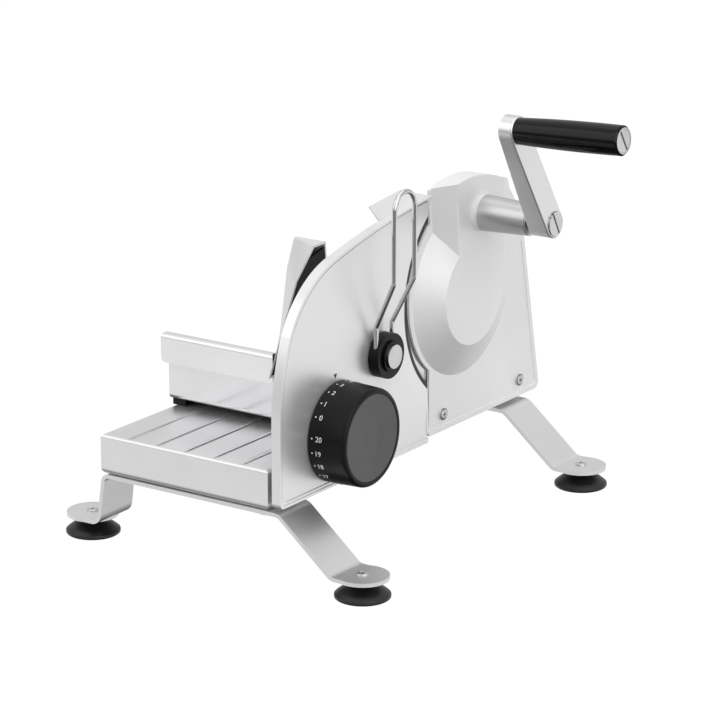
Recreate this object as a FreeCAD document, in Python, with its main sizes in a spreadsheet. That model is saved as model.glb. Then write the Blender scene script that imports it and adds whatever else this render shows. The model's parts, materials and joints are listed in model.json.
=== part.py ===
"""Hand-cranked food slicer, in millimetres.

The frame stands on the ground: X points to the crank side, Y to the back, Z up, and the origin
lies on the ground in the middle of the four feet. The blade turns in a plane square to X.
"""

import FreeCAD, Part

import math
import os
import re

import Sketcher

# Driving dimensions: plain numbers, each written once
SIZES = {
    # Feet and leg strips
    "foot_rubber_height": 14.5,
    "foot_rim_radius": 21,
    "foot_neck_radius": 9,
    "foot_plate_radius": 20,
    "foot_front_inset": 19.5,
    "foot_back_inset": 40,
    "right_foot_reach": 70.5,
    "left_foot_reach": 25,
    "right_bend_reach": 14.5,
    "right_knee_reach": 9,
    "left_lean": 5.5,
    "strip_width": 38,
    "strip_gauge": 3,
    "strip_bend": 7,
    "base_height": 57,
    "foot_screw_radius": 2,
    "foot_screw_head": 4.5,
    "leg_bolt_radius": 2.5,
    "leg_bolt_inset": 10,
    "leg_bolt_shift": 9,
    "leg_bolt_head": 4.6,
    "leg_bolt_head_height": 3,
    # Tray
    "tray_width": 155.5,
    "tray_length": 367.5,
    "tray_front": -173.5,
    "tray_top": 88.3,
    "tray_gauge": 1.5,
    "tray_roll": 5,
    "tray_edge": 2.5,
    "tray_flange": 18,
    "bead_width": 4,
    "bead_height": 0.7,
    "bead_pitch": 26,
    "bead_count": 5,
    "bead_first": 24.5,
    "bead_end_gap": 8,
    # Blade
    "blade_face": 55.5,
    "blade_y": 78,
    "blade_dip": 0.8,
    "blade_radius": 85,
    "blade_gauge": 1.5,
    "blade_bevel": 7,
    "blade_waves": 48,
    "wave_depth": 0.9,
    "blade_hub_radius": 22,
    "blade_hub_gauge": 2,
    "lock_cap_radius": 17.8,
    "blade_shaft_radius": 6,
    "bush_wall": 2,
    "running_gap": 0.05,
    "wall_gap": 0.5,
    # Gears
    "gear_module": 2.02,
    "blade_teeth": 40,
    "crank_teeth": 20,
    "gear_width": 6,
    "gear_lean": 3.31,
    "gear_slack": 0.1,
    # Housing
    "housing_skin": 2,
    "housing_depth": 16,
    "housing_wall": 2,
    "cone_wall": 4,
    "guard_margin": 9,
    "blade_showing": 11.5,
    "housing_front_reach": 45,
    "housing_tip_reach": 1.5,
    "housing_back_reach": 118,
    "skirt_rise": 3.5,
    "skirt_corner": 6,
    "cone_base_radius": 68.3,
    "cone_base_shift": 0.5,
    "cone_top_radius": 40.5,
    "cone_lean": 5.8,
    "cone_drop": 2.7,
    "case_rise": 30.4,
    "case_front_drop": 5.7,
    "case_crown_shift": 10,
    "case_crown_reach": 29,
    "case_crown_drop": 8.7,
    "case_dip": 10,
    "guard_start": 54.4,
    "facet_inset": 2.8,
    "facet_run": 12.6,
    "facet_tilt": 3.5,
    "ridge_round": 2.5,
    "groove_width": 3.5,
    "groove_depth": 0.8,
    "groove_inset": 4,
    "boss_length": 45,
    "boss_base_radius": 14.5,
    "boss_end_radius": 12.5,
    "boss_ring_radius": 15.5,
    "boss_ring_width": 1,
    "boss_bush_length": 14,
    "housing_screw_radius": 2.5,
    "housing_screw_head": 4.6,
    "housing_screw_head_height": 1.6,
    "housing_screw_z": 74.5,
    "housing_screw_front": 52,
    "housing_screw_pitch": 112,
    "housing_bracket_gauge": 4,
    "housing_bracket_margin": 12,
    "plate_gauge": 2.5,
    "post_radius": 4.5,
    "post_circle": 49,
    "post_reach": 28,
    "post_lift": 2,
    "plate_screw_radius": 1.5,
    # Crank
    "crank_shaft_radius": 7,
    "crank_radius": 91,
    "crank_angle": 29,
    "arm_gap": 3.5,
    "arm_hub_gauge": 17.5,
    "arm_tip_gauge": 12,
    "arm_width": 22.6,
    "arm_drive": 10,
    "crank_cap_radius": 9.4,
    "crank_cap_height": 3,
    "crank_cap_rise": 1,
    "slot_width": 2,
    "slot_depth": 1.2,
    "grip_length": 91,
    "grip_start_radius": 10.2,
    "grip_middle_radius": 11.6,
    "grip_end_radius": 11.4,
    "grip_pin_radius": 4,
    "grip_pin_depth": 8,
    "grip_head_radius": 8.6,
    "grip_ring_radius": 9.8,
    "grip_head_height": 1.8,
    # Stop plate
    "stop_setting": 3.5,
    "stop_gauge": 8,
    "stop_front": -174,
    "stop_arc_gap": 1,
    "stop_back": 21,
    "stop_tip": 26,
    "stop_tip_drop": 2,
    "stop_bevel_width": 15.5,
    "stop_bevel_depth": 1.5,
    "stop_rim": 2,
    "stop_recess": 0.7,
    "lip_length": 63,
    "lip_reach": 9.3,
    "lip_rise": 9.8,
    "lip_gauge": 1.2,
    "rod_radius": 4,
    "rod_z": 67,
    "rod_front": -150,
    "rod_back": -10,
    "rod_seat": 6,
    "rod_length": 55,
    "guide_block_length": 18.5,
    "guide_block_width": 16,
    "guide_block_top": 72.4,
    "guide_liner": 0.8,
    # Thickness knob and feed
    "knob_y": -101.5,
    "knob_z": 102.4,
    "knob_radius": 38.5,
    "knob_front_radius": 37.4,
    "knob_depth": 31.2,
    "knob_rim": 3,
    "knob_cap_radius": 33,
    "knob_wall": 1.9,
    "knob_post_radius": 6,
    "knob_post_length": 25,
    "knob_gap": 0.3,
    "dial_teeth": 50,
    "pinion_teeth": 10,
    "dial_module": 1.3,
    "dial_gear_width": 7,
    "spindle_radius": 4.5,
    "spindle_journal": 3.5,
    "spindle_length": 49,
    "nut_length": 13.5,
    "nut_width": 16,
    # Deflector
    "deflector_y": -44.2,
    "deflector_z": 147.8,
    "deflector_radius": 17.5,
    "deflector_hub_depth": 8.7,
    "deflector_ring_radius": 12,
    "deflector_ring_depth": 2,
    "button_radius": 9.15,
    "button_rise": 1.8,
    "stud_radius": 4,
    "stud_length": 7.5,
    "wire_radius": 1.4,
    "wire_reach": 18,
    "wire_bend": 7,
    "wire_front": 13.6,
    "wire_back": 7.4,
    "wire_low": 24.7,
    "wire_high": 61.5,
    "wire_top": 129.1,
    "wire_spread": 27,
    "wire_seat": 7,
    # Carriage
    "carriage_front": -86,
    "carriage_width": 156.5,
    "carriage_length": 130,
    "carriage_right_gap": 1.5,
    "carriage_floor_z": 94,
    "carriage_wall_height": 51,
    "carriage_gauge": 1.5,
    "carriage_bend": 4,
    "hem_depth": 6.5,
    "hem_height": 8,
    "runner_width": 12,
    "runner_gap": 0.3,
    "slide_right_inset": 18.5,
    "slide_rod_radius": 4,
    "slide_rod_z": 78,
    "slide_rod_front": -93,
    "slide_rod_length": 283,
    "slide_bracket_gauge": 5,
    "slide_slot_width": 7,
    "slide_slot_front": -88,
    "slide_slot_length": 268,
    "slider_length": 20,
    "slider_width": 20,
    "slider_sole": 1.2,
    "slider_front": 66,
    "slider_pitch": 48,
    "neck_width": 5,
    "neck_length": 12,
    "floor_screw_radius": 1.5,
    "floor_screw_head": 2.9,
    "floor_screw_sink": 1.2,
    "floor_screw_reach": 4.5,
    "floor_screw_spread": 3,
    # Leftover holder
    "saddle_left": -104.5,
    "saddle_length": 106,
    "saddle_gauge": 1.2,
    "saddle_front_gap": 0.8,
    "saddle_back_gap": 0.6,
    "saddle_rise": 1.2,
    "saddle_drop": 22.4,
    "saddle_back_drop": 18,
    "saddle_corner": 3,
    "link_length": 34,
    "link_height": 18,
    "link_back": 4,
    "shield_height": 88.2,
    "shield_bend_height": 65.4,
    "shield_wall": 1.5,
    "shield_right_rise": 1.5,
    "shield_corner": 2,
    "shield_low_nose": 53.5,
    "shield_low_width": 31,
    "shield_low_left": 0.5,
    "shield_low_tail": 26,
    "shield_bend_nose": 19,
    "shield_bend_width": 33,
    "shield_bend_left": 15,
    "shield_bend_tail": 21.5,
    "shield_high_nose": -3,
    "shield_high_width": 34,
    "shield_high_left": 20,
    "shield_high_tail": 19.5,
    "shield_plate_gauge": 2,
    "shield_plate_gap": 0.3,
    "shield_plate_drop": 3.5,
    "shield_plate_slope": 0.24,
    "shield_screw_inset": 5.8,
    "shield_screw_pitch": 5.6,
}

# Places that follow from the driving dimensions
PLACES = {
    "tray_right": "blade_face - wall_gap",
    "tray_left": "tray_right - tray_width",
    "tray_back": "tray_front + tray_length",
    "foot_right": "tray_right + right_foot_reach",
    "foot_left": "tray_left - left_foot_reach",
    "foot_front": "tray_front + foot_front_inset",
    "foot_back": "tray_back - foot_back_inset",
    "foot_plate_top": "foot_rubber_height + strip_gauge",
    "bolt_right": "tray_right - leg_bolt_inset",
    "bolt_left": "tray_left + leg_bolt_inset",
    "bolt_front": "foot_front - leg_bolt_shift",
    "bolt_back": "foot_back + leg_bolt_shift",
    "skirt_bottom": "base_height + skirt_rise",
    "blade_right": "blade_face + blade_gauge",
    "hub_right": "blade_right + blade_hub_gauge",
    "blade_z": "tray_top + blade_radius - blade_dip",
    "housing_left": "blade_right + wall_gap",
    "housing_face": "housing_left + housing_skin",
    "housing_right": "housing_face + housing_depth",
    "housing_inner": "housing_right - housing_wall",
    "housing_front": "blade_y - housing_front_reach",
    "housing_back": "blade_y + housing_back_reach",
    "guard_radius": "blade_radius + guard_margin",
    "cover_radius": "blade_radius - blade_showing",
    "cone_slope": "(cone_base_radius - cone_top_radius) / housing_depth",
    "cone_shear": "(cone_base_shift + cone_lean) / housing_depth",
    "gear_distance": "gear_module * (blade_teeth + crank_teeth) / 2",
    "crank_y": "blade_y + gear_distance * sin(gear_lean)",
    "crank_z": "blade_z + gear_distance * cos(gear_lean)",
    "case_top": "crank_z + case_rise",
    "plate_right": "housing_face + plate_gauge",
    "gear_left": "plate_right + 1",
    "gear_right": "gear_left + gear_width",
    "boss_end": "housing_right + boss_length",
    "arm_left": "boss_end + arm_gap",
    "arm_right": "arm_left + arm_hub_gauge",
    "bush_radius": "blade_shaft_radius + bush_wall",
    "crank_bush_radius": "crank_shaft_radius + bush_wall",
    "stop_left": "blade_face + stop_setting",
    "stop_right": "stop_left + stop_gauge",
    "stop_tip_z": "blade_z + blade_radius - stop_tip_drop",
    "stop_arc": "blade_radius + stop_arc_gap",
    "rod_right": "stop_left + rod_seat",
    "rod_left": "rod_right - rod_length",
    "wall_inner": "tray_right - tray_gauge",
    "roof_inner": "tray_top - tray_gauge",
    "knob_left": "stop_right + knob_gap",
    "spindle_z": "knob_z - dial_module * (dial_teeth - pinion_teeth) / 2",
    "deflector_left": "stop_right + knob_gap",
    "deflector_right": "deflector_left + deflector_hub_depth",
    "wire_x": "deflector_left + deflector_hub_depth / 2",
    "carriage_right": "blade_face - carriage_right_gap",
    "carriage_left": "carriage_right - carriage_width",
    "carriage_back": "carriage_front + carriage_length",
    "wall_top": "carriage_floor_z + carriage_wall_height",
    "slide_x": "tray_right - slide_right_inset",
    "slide_rod_back": "slide_rod_front + slide_rod_length",
    "hem_front": "carriage_front - hem_depth + carriage_gauge",
    "saddle_right": "saddle_left + saddle_length",
    "saddle_front": "hem_front - saddle_front_gap - saddle_gauge",
    "saddle_back": "carriage_front + carriage_gauge + saddle_back_gap + saddle_gauge",
    "saddle_top": "wall_top + saddle_rise + saddle_gauge",
    "link_right": "saddle_right + link_length",
    "link_top": "saddle_top + saddle_gauge",
    "shield_right": "link_right + shield_right_rise",
}

PRESSURE = math.radians(20)
X_AXIS = FreeCAD.Vector(1, 0, 0)
Y_AXIS = FreeCAD.Vector(0, 1, 0)
Z_AXIS = FreeCAD.Vector(0, 0, 1)
TURN = {
    "X": FreeCAD.Rotation(Y_AXIS, 90),
    "Y": FreeCAD.Rotation(X_AXIS, -90),
    "Z": FreeCAD.Rotation(),
}

doc = FreeCAD.newDocument("slicer")
pieces = []


def make_sheet(name, cells):
    """A sheet with one aliased cell for each entry."""
    sheet = doc.addObject("Spreadsheet::Sheet", name)
    for row, (alias, content) in enumerate(cells.items(), start=1):
        sheet.set(f"A{row}", alias)
        sheet.set(f"B{row}", content)
        sheet.setAlias(f"B{row}", alias)
    return sheet


def full_names(formula):
    """The formula with its sheet's name before every alias."""

    def full_name(match):
        word = match.group()
        if word in SIZES:
            return "dims." + word
        return "places." + word if word in PLACES else word

    return re.sub(r"[a-z][a-z0-9_]*", full_name, str(formula))


dims = make_sheet("dims", {alias: str(number) for alias, number in SIZES.items()})
doc.recompute()
places = make_sheet("places", {alias: "=" + full_names(text) for alias, text in PLACES.items()})
doc.recompute()


def value(alias):
    """The number behind an alias."""
    return float((dims if alias in SIZES else places).get(alias))


def values(*aliases):
    return [value(alias) for alias in aliases]


def bind(thing, **formulas):
    """Tie properties to formulas; a double underscore stands for a dot in a property's path."""
    for path, formula in formulas.items():
        thing.setExpression(path.replace("__", "."), full_names(formula))
    return thing


def put(thing, x, y, z):
    return bind(thing, Placement__Base__x=x, Placement__Base__y=y, Placement__Base__z=z)


def piece(node, thing):
    """Name a finished sub-part."""
    thing.Label = node
    pieces.append(thing)
    return thing


# Primitives and booleans
def block(name, low, high):
    """A box between two corners, each given by three formulas."""
    thing = doc.addObject("Part::Box", name)
    spans = [f"({end}) - ({start})" for start, end in zip(low, high)]
    bind(thing, Length=spans[0], Width=spans[1], Height=spans[2])
    return put(thing, *low)


def along(thing, axis, start, across):
    """Lay a primitive along an axis, from start, at the place across it."""
    thing.Placement = FreeCAD.Placement(FreeCAD.Vector(), TURN[axis])
    base = {
        "X": (start, *across),
        "Y": (across[0], start, across[1]),
        "Z": (*across, start),
    }[axis]
    return put(thing, *base)


def rod(name, axis, start, end, across, radius):
    thing = doc.addObject("Part::Cylinder", name)
    bind(thing, Radius=radius, Height=f"({end}) - ({start})")
    return along(thing, axis, start, across)


def cone(name, axis, start, end, across, start_radius, end_radius):
    thing = doc.addObject("Part::Cone", name)
    bind(thing, Radius1=start_radius, Radius2=end_radius, Height=f"({end}) - ({start})")
    return along(thing, axis, start, across)


def hexagon(name, axis, start, end, across, radius):
    thing = doc.addObject("Part::Prism", name)
    bind(thing, Circumradius=radius, Height=f"({end}) - ({start})")
    return along(thing, axis, start, across)


def cut(name, base, *tools):
    thing = doc.addObject("Part::Cut", name)
    thing.Base = base
    thing.Tool = tools[0] if len(tools) == 1 else fuse(name + "_tools", *tools)
    return thing


def fuse(name, *parts):
    thing = doc.addObject("Part::MultiFuse", name)
    thing.Shapes = list(parts)
    return thing


def common(name, base, tool):
    thing = doc.addObject("Part::Common", name)
    thing.Base = base
    thing.Tool = tool
    return thing


def group(name, *parts):
    """Separate solids of one node."""
    thing = doc.addObject("Part::Compound", name)
    thing.Links = list(parts)
    return thing


# Outlines
def corner_arc(before, corner, after, radius):
    """The start, middle and end of the arc that rounds a corner."""
    back = (before - corner).normalize()
    ahead = (after - corner).normalize()
    half = back.getAngle(ahead) / 2
    inward = (back + ahead).normalize()
    reach = radius / math.tan(half)
    centre = corner + inward * (radius / math.sin(half))
    return corner + back * reach, centre - inward * radius, corner + ahead * reach


def rounded(points, closed=True):
    """Lines and arcs through points (a, b) or (a, b, radius)."""
    spots = [FreeCAD.Vector(point[0], point[1], 0) for point in points]
    radii = [point[2] if len(point) > 2 else 0 for point in points]
    return rounded_line(spots, radii, closed)


def rounded_line(spots, radii, closed):
    turns = []
    for index, spot in enumerate(spots):
        if radii[index]:
            after = spots[(index + 1) % len(spots)]
            turns.append(corner_arc(spots[index - 1], spot, after, radii[index]))
        else:
            turns.append((spot, None, spot))
    edges = []
    for index, (start, middle, end) in enumerate(turns):
        if middle:
            edges.append(Part.Arc(start, middle, end))
        if closed or index < len(turns) - 1:
            following = turns[(index + 1) % len(turns)][0]
            if end.distanceToPoint(following) > 1e-6:
                edges.append(Part.LineSegment(end, following))
    return edges


def around(centre, radius, degrees):
    """The point at an angle on a circle."""
    angle = math.radians(degrees)
    return (centre[0] + radius * math.cos(angle), centre[1] + radius * math.sin(angle))


def arc_about(centre, radius, start, end):
    """An arc between two angles, as start, middle and end points."""
    spots = [around(centre, radius, angle) for angle in (start, (start + end) / 2, end)]
    return Part.Arc(*[FreeCAD.Vector(a, b, 0) for a, b in spots])


# Bodies, sketches and features
def new_body(name):
    return doc.addObject("PartDesign::Body", name)


def origin_part(body, role):
    return [part for part in body.Origin.OriginFeatures if part.Role == role][0]


def sketch(body, name, plane, offset="0"):
    """A sketch on an origin plane of its body, moved along the plane's normal."""
    thing = body.newObject("Sketcher::SketchObject", name)
    thing.AttachmentSupport = [(origin_part(body, plane + "_Plane"), "")]
    thing.MapMode = "FlatFace"
    return bind(thing, AttachmentOffset__Base__z=offset)


def draw(target, edges):
    """Add edges to a sketch and join the ends that meet."""
    first = target.GeometryCount
    target.addGeometry([edge for edge in edges], False)
    ends = [
        (index, side, target.getPoint(index, side))
        for index in range(first, target.GeometryCount)
        for side in (1, 2)
    ]
    joins = []
    for position, (index, side, spot) in enumerate(ends):
        for other, other_side, other_spot in ends[position + 1 :]:
            if other != index and spot.distanceToPoint(other_spot) < 1e-5:
                joins.append(Sketcher.Constraint("Coincident", index, side, other, other_side))
    target.addConstraint(joins)
    return target


def constrain(target, formula, *constraint):
    """A dimension of the sketch that follows a formula."""
    index = target.addConstraint(Sketcher.Constraint(*constraint))
    bind(target, **{f"Constraints[{index}]": formula})


def circle(target, across, up, radius):
    index = target.addGeometry(Part.Circle(FreeCAD.Vector(1, 1, 0), FreeCAD.Vector(0, 0, 1), 1))
    constrain(target, radius, "Radius", index, 1)
    constrain(target, across, "DistanceX", -1, 1, index, 3, 1)
    constrain(target, up, "DistanceY", -1, 1, index, 3, 1)
    return target


def pad(body, profile, length, backwards=False):
    thing = body.newObject("PartDesign::Pad", profile.Name + "_pad")
    thing.Profile = profile
    thing.Reversed = backwards
    bind(thing, Length=length)
    profile.Visibility = False
    doc.recompute()
    return thing


def pocket(body, profile, depth, backwards=False):
    thing = body.newObject("PartDesign::Pocket", profile.Name + "_pocket")
    thing.Profile = profile
    thing.Reversed = backwards
    bind(thing, Length=depth)
    doc.recompute()
    return thing


def revolve(body, profile, axis):
    thing = body.newObject("PartDesign::Revolution", profile.Name + "_turn")
    thing.Profile = profile
    thing.ReferenceAxis = (profile, [axis])
    thing.Angle = 360
    doc.recompute()
    return thing


def fillet(body, radius, chosen, name):
    """Round the edges of the body's tip that a test picks."""
    tip = body.Tip
    names = [f"Edge{number}" for number, edge in enumerate(tip.Shape.Edges, 1) if chosen(edge)]
    thing = body.newObject("PartDesign::Fillet", name)
    thing.Base = (tip, names)
    bind(thing, Radius=radius)
    doc.recompute()
    return thing


def within(edge, axis, place):
    """Whether an edge lies in the plane at a place on an axis."""
    box = edge.BoundBox
    low, high = getattr(box, axis + "Min"), getattr(box, axis + "Max")
    return abs(low - place) < 1e-4 and abs(high - place) < 1e-4


def turned_body(node, points, x, y, z, axis="H_Axis"):
    """A body of revolution about X, or about Z, from a half section (place, radius)."""
    body = new_body(node)
    profile = draw(sketch(body, node + "_section", "XZ"), points)
    revolve(body, profile, axis)
    put(body, x, y, z)
    return body


# Leg strips and feet
def leg_frame(node, foot_y):
    """One strip, bent down to both feet, with a round plate at each end."""
    top, knee, gauge, bend = values("base_height", "foot_plate_top", "strip_gauge", "strip_bend")
    left, right, tray_left, tray_right = values("foot_left", "foot_right", "tray_left", "tray_right")
    bend_right = right - value("right_bend_reach")
    knee_right = tray_right + value("right_knee_reach")
    bend_left = tray_left - value("left_lean")
    route = [(right, knee), (bend_right, knee), (knee_right, top), (tray_left, top)]
    route += [(bend_left, knee), (left, knee)]
    inside = offset_line(route, gauge)
    outer_radii = [0, bend, bend + gauge, bend, bend, 0]
    inner_radii = [0, bend + gauge, bend, bend - gauge, bend + gauge, 0]
    ring = [(a, b, r) for (a, b), r in zip(route, outer_radii)]
    ring += [(a, b, r) for (a, b), r in reversed(list(zip(inside, inner_radii)))]
    body = new_body(node)
    side = sketch(body, node + "_side", "XZ", f"-({foot_y}) - strip_width / 2")
    pad(body, draw(side, rounded(ring)), "strip_width")
    for end in ("foot_left", "foot_right"):
        plate = sketch(body, f"{node}_{end}", "XY", "foot_rubber_height")
        pad(body, circle(plate, end, foot_y, "foot_plate_radius"), "strip_gauge")
        hole = sketch(body, f"{node}_{end}_hole", "XY", "foot_plate_top")
        circle(hole, end, foot_y, "foot_screw_radius + running_gap")
        pocket(body, hole, "strip_gauge")
    bolt_y = foot_y.replace("foot", "bolt")
    for end in ("bolt_left", "bolt_right"):
        hole = sketch(body, f"{node}_{end}_hole", "XY", "base_height")
        circle(hole, end, bolt_y, "leg_bolt_radius + running_gap")
        pocket(body, hole, "strip_gauge")
    return piece(node, body)


def offset_line(route, distance):
    """The line at a distance to the left of a route of straight runs."""
    runs = []
    for (a, b), (c, d) in zip(route, route[1:]):
        length = math.hypot(c - a, d - b)
        ahead = ((c - a) / length, (d - b) / length)
        aside = (-ahead[1] * distance, ahead[0] * distance)
        runs.append(((a + aside[0], b + aside[1]), ahead))
    last = (route[-1][0] + aside[0], route[-1][1] + aside[1])
    line = [runs[0][0]]
    for (start, ahead), (other, direction) in zip(runs, runs[1:]):
        cross = ahead[0] * direction[1] - ahead[1] * direction[0]
        gap = (other[0] - start[0], other[1] - start[1])
        reach = (gap[0] * direction[1] - gap[1] * direction[0]) / cross
        line.append((start[0] + ahead[0] * reach, start[1] + ahead[1] * reach))
    return line + [last]


def rubber_foot(node, x, y):
    """A bell-shaped rubber foot with a hollow underside."""
    height, rim, neck = values("foot_rubber_height", "foot_rim_radius", "foot_neck_radius")
    hole = value("foot_screw_radius") + value("running_gap")
    section = rounded([
        (hole, 4.5), (hole, height), (neck, height), (neck, height - 2.5, 2),
        (rim - 3, 5.5, 6), (rim, 3, 1), (rim, 0.8, 0.6), (rim - 1, 0),
        (rim - 5, 0), (rim - 8, 3, 2), (neck, 4.5, 3),
    ])
    return piece(node, turned_body(node, section, x, y, "0", "V_Axis"))


def pan_screw(name, axis, seat, across, radius, head, head_height, length):
    """A round-headed screw whose shank runs backwards along the axis from its seat."""
    shank = rod(name + "_shank", axis, f"({seat}) - ({length})", seat, across, radius)
    cap = rod(name + "_head", axis, seat, f"({seat}) + ({head_height})", across, head)
    return fuse(name, shank, cap)


def feet():
    corners = {"front_right": ("foot_right", "foot_front"), "front_left": ("foot_left", "foot_front")}
    corners.update(back_right=("foot_right", "foot_back"), back_left=("foot_left", "foot_back"))
    screws, bolts, nuts = [], [], []
    for corner, (x, y) in corners.items():
        rubber_foot("rubber_foot_" + corner, x, y)
        screws.append(pan_screw("foot_screw_" + corner, "Z", "foot_plate_top", (x, y),
                                "foot_screw_radius", "foot_screw_head", "1.8", "9"))
        place = (x.replace("foot", "bolt"), y.replace("foot", "bolt"))
        under = "base_height - strip_gauge"
        over = "base_height + tray_gauge"
        head = hexagon(f"leg_bolt_{corner}_head", "Z", f"{under} - leg_bolt_head_height", under,
                       place, "leg_bolt_head")
        shank = rod(f"leg_bolt_{corner}_shank", "Z", under, f"{over} + 4.5", place,
                    "leg_bolt_radius")
        bolts.append(fuse("leg_bolt_" + corner, head, shank))
        nut = hexagon(f"leg_nut_{corner}_blank", "Z", over, f"{over} + 3.5", place, "leg_bolt_head")
        bore = rod(f"leg_nut_{corner}_bore", "Z", over, f"{over} + 3.5", place,
                   "leg_bolt_radius + running_gap")
        nuts.append(cut("leg_nut_" + corner, nut, bore))
    piece("foot_screws", group("foot_screw_set", *screws))
    piece("leg_bolts", group("leg_bolt_set", *bolts))
    piece("leg_nuts", group("leg_nut_set", *nuts))


# Tray
def pan(name, inset, bottom_inset):
    """A box with rolled edges, smaller on every side by an inset."""
    body = new_body(name)
    left, right, front, back = values("tray_left", "tray_right", "tray_front", "tray_back")
    plan = sketch(body, name + "_plan", "XY", f"base_height + {bottom_inset}")
    corners = [(left + inset, front + inset), (right - inset, front + inset)]
    corners += [(right - inset, back - inset), (left + inset, back - inset)]
    pad(body, draw(plan, rounded(corners)), f"tray_top - base_height - {bottom_inset} - {inset}")
    bottom = value("base_height") + bottom_inset
    top = value("tray_top") - inset
    fillet(body, f"tray_roll - {inset}", lambda edge: within(edge, "Z", bottom), name + "_roll")
    fillet(body, f"tray_edge - {inset}", lambda edge: within(edge, "Z", top), name + "_edge")
    return body


def tray():
    gauge = value("tray_gauge")
    outside = pan("tray_outside", 0, 0)
    inside = pan("tray_inside", gauge, gauge)
    opening = block("tray_opening",
                    ("tray_left + tray_flange", "tray_front + tray_flange", "base_height - 1"),
                    ("tray_right - tray_flange", "tray_back - tray_flange", "base_height + 5"))
    slot = block("slide_slot",
                 ("slide_x - slide_slot_width / 2", "slide_slot_front", "roof_inner - 1"),
                 ("slide_x + slide_slot_width / 2", "slide_slot_front + slide_slot_length",
                  "tray_top + 2"))
    through = ("wall_inner - 1", "tray_right + 1")
    holes = [
        rod("spindle_hole", "X", *through, ("knob_y", "spindle_z"), "spindle_radius + 0.8"),
        rod("front_rod_hole", "X", *through, ("rod_front", "rod_z"), "rod_radius + 0.5"),
        rod("back_rod_hole", "X", *through, ("rod_back", "rod_z"), "rod_radius + 0.5"),
    ]
    for name, y in HOUSING_SCREWS.items():
        holes.append(rod(f"tray_{name}_hole", "X", *through, (y, "housing_screw_z"),
                         "housing_screw_radius + running_gap"))
    for x in ("bolt_left", "bolt_right"):
        for y in ("bolt_front", "bolt_back"):
            holes.append(rod(f"tray_{x}_{y}_hole", "Z", "base_height - 1", "base_height + 3",
                             (x, y), "leg_bolt_radius + running_gap"))
    shell = cut("tray_shell", outside, inside, opening, slot, *holes)
    piece("tray", fuse("tray_with_beads", shell, beads()))


def beads():
    """Long stiffening beads on the tray's top, each a low round ridge."""
    height, width, first = values("bead_height", "bead_width", "bead_first")
    body = new_body("tray_bead")
    section = sketch(body, "bead_section", "XZ", "-(tray_back - bead_end_gap)")
    centre = value("tray_left") + first
    top = value("tray_top")
    sole = top - value("tray_gauge") / 2
    ends = (FreeCAD.Vector(centre - width / 2, top, 0), FreeCAD.Vector(centre + width / 2, top, 0))
    crown = Part.Arc(ends[0], FreeCAD.Vector(centre, top + height, 0), ends[1])
    feet_of_bead = rounded([(centre + width / 2, top), (centre + width / 2, sole),
                            (centre - width / 2, sole), (centre - width / 2, top)], closed=False)
    pad(body, draw(section, [crown] + feet_of_bead), "tray_length - 2 * bead_end_gap")
    pattern = body.newObject("PartDesign::LinearPattern", "bead_row")
    pattern.Originals = [body.Tip]
    pattern.Direction = (origin_part(body, "X_Axis"), [""])
    bind(pattern, Length="bead_pitch * (bead_count - 1)", Occurrences="bead_count")
    body.Tip = pattern
    return body


HOUSING_SCREWS = {
    "front_screw": "housing_screw_front",
    "back_screw": "housing_screw_front + housing_screw_pitch",
}


# Blade housing
def guard_tangent():
    """The angle on the guard circle where the straight back edge starts."""
    foot = (value("housing_back") - value("blade_y"), value("skirt_bottom") - value("blade_z"))
    reach = math.acos(value("guard_radius") / math.hypot(*foot))
    return math.degrees(math.atan2(foot[1], foot[0]) + reach)


def case_crown(inset):
    """The housing's top edge from the tip to the guard circle, drawn in by an inset."""
    centre = tuple(values("blade_y", "blade_z"))
    crank_y, top, drop, guard = values("crank_y", "case_top", "case_front_drop", "guard_radius")
    tip = (value("housing_front") - value("housing_tip_reach") + inset, top - drop - inset)
    crest = (crank_y - value("case_crown_shift"), top - inset)
    shoulder = (crank_y + value("case_crown_reach"), top - value("case_crown_drop") - inset)
    return tip, crest, shoulder, around(centre, guard - inset, value("guard_start"))


def crown_edges(inset):
    """An arc over the crank gear and a short line down to the guard circle."""
    tip, crest, shoulder, join = [FreeCAD.Vector(*spot, 0) for spot in case_crown(inset)]
    return [Part.Arc(tip, crest, shoulder), Part.LineSegment(shoulder, join)]


def housing_skin():
    """The flat plate over the blade: round in front, a guard circle behind, a straight skirt."""
    body = new_body("housing_plate")
    centre = tuple(values("blade_y", "blade_z"))
    front, back, bottom, crest = values("housing_front", "housing_back", "skirt_bottom",
                                        "guard_start")
    cover, guard, corner = values("cover_radius", "guard_radius", "skirt_corner")
    low = math.degrees(math.acos((front - centre[0]) / cover))
    tip = case_crown(0)[0]
    edges = [arc_about(centre, cover, -low, -360 + low)]
    edges += rounded([around(centre, cover, low), tip], closed=False)
    edges += crown_edges(0)
    edges.append(arc_about(centre, guard, crest, guard_tangent()))
    edges += rounded([around(centre, guard, guard_tangent()), (back, bottom, corner),
                      (front, bottom, 2), around(centre, cover, -low)], closed=False)
    pad(body, draw(sketch(body, "housing_outline", "YZ", "housing_left"), edges), "housing_skin")
    return body


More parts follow.
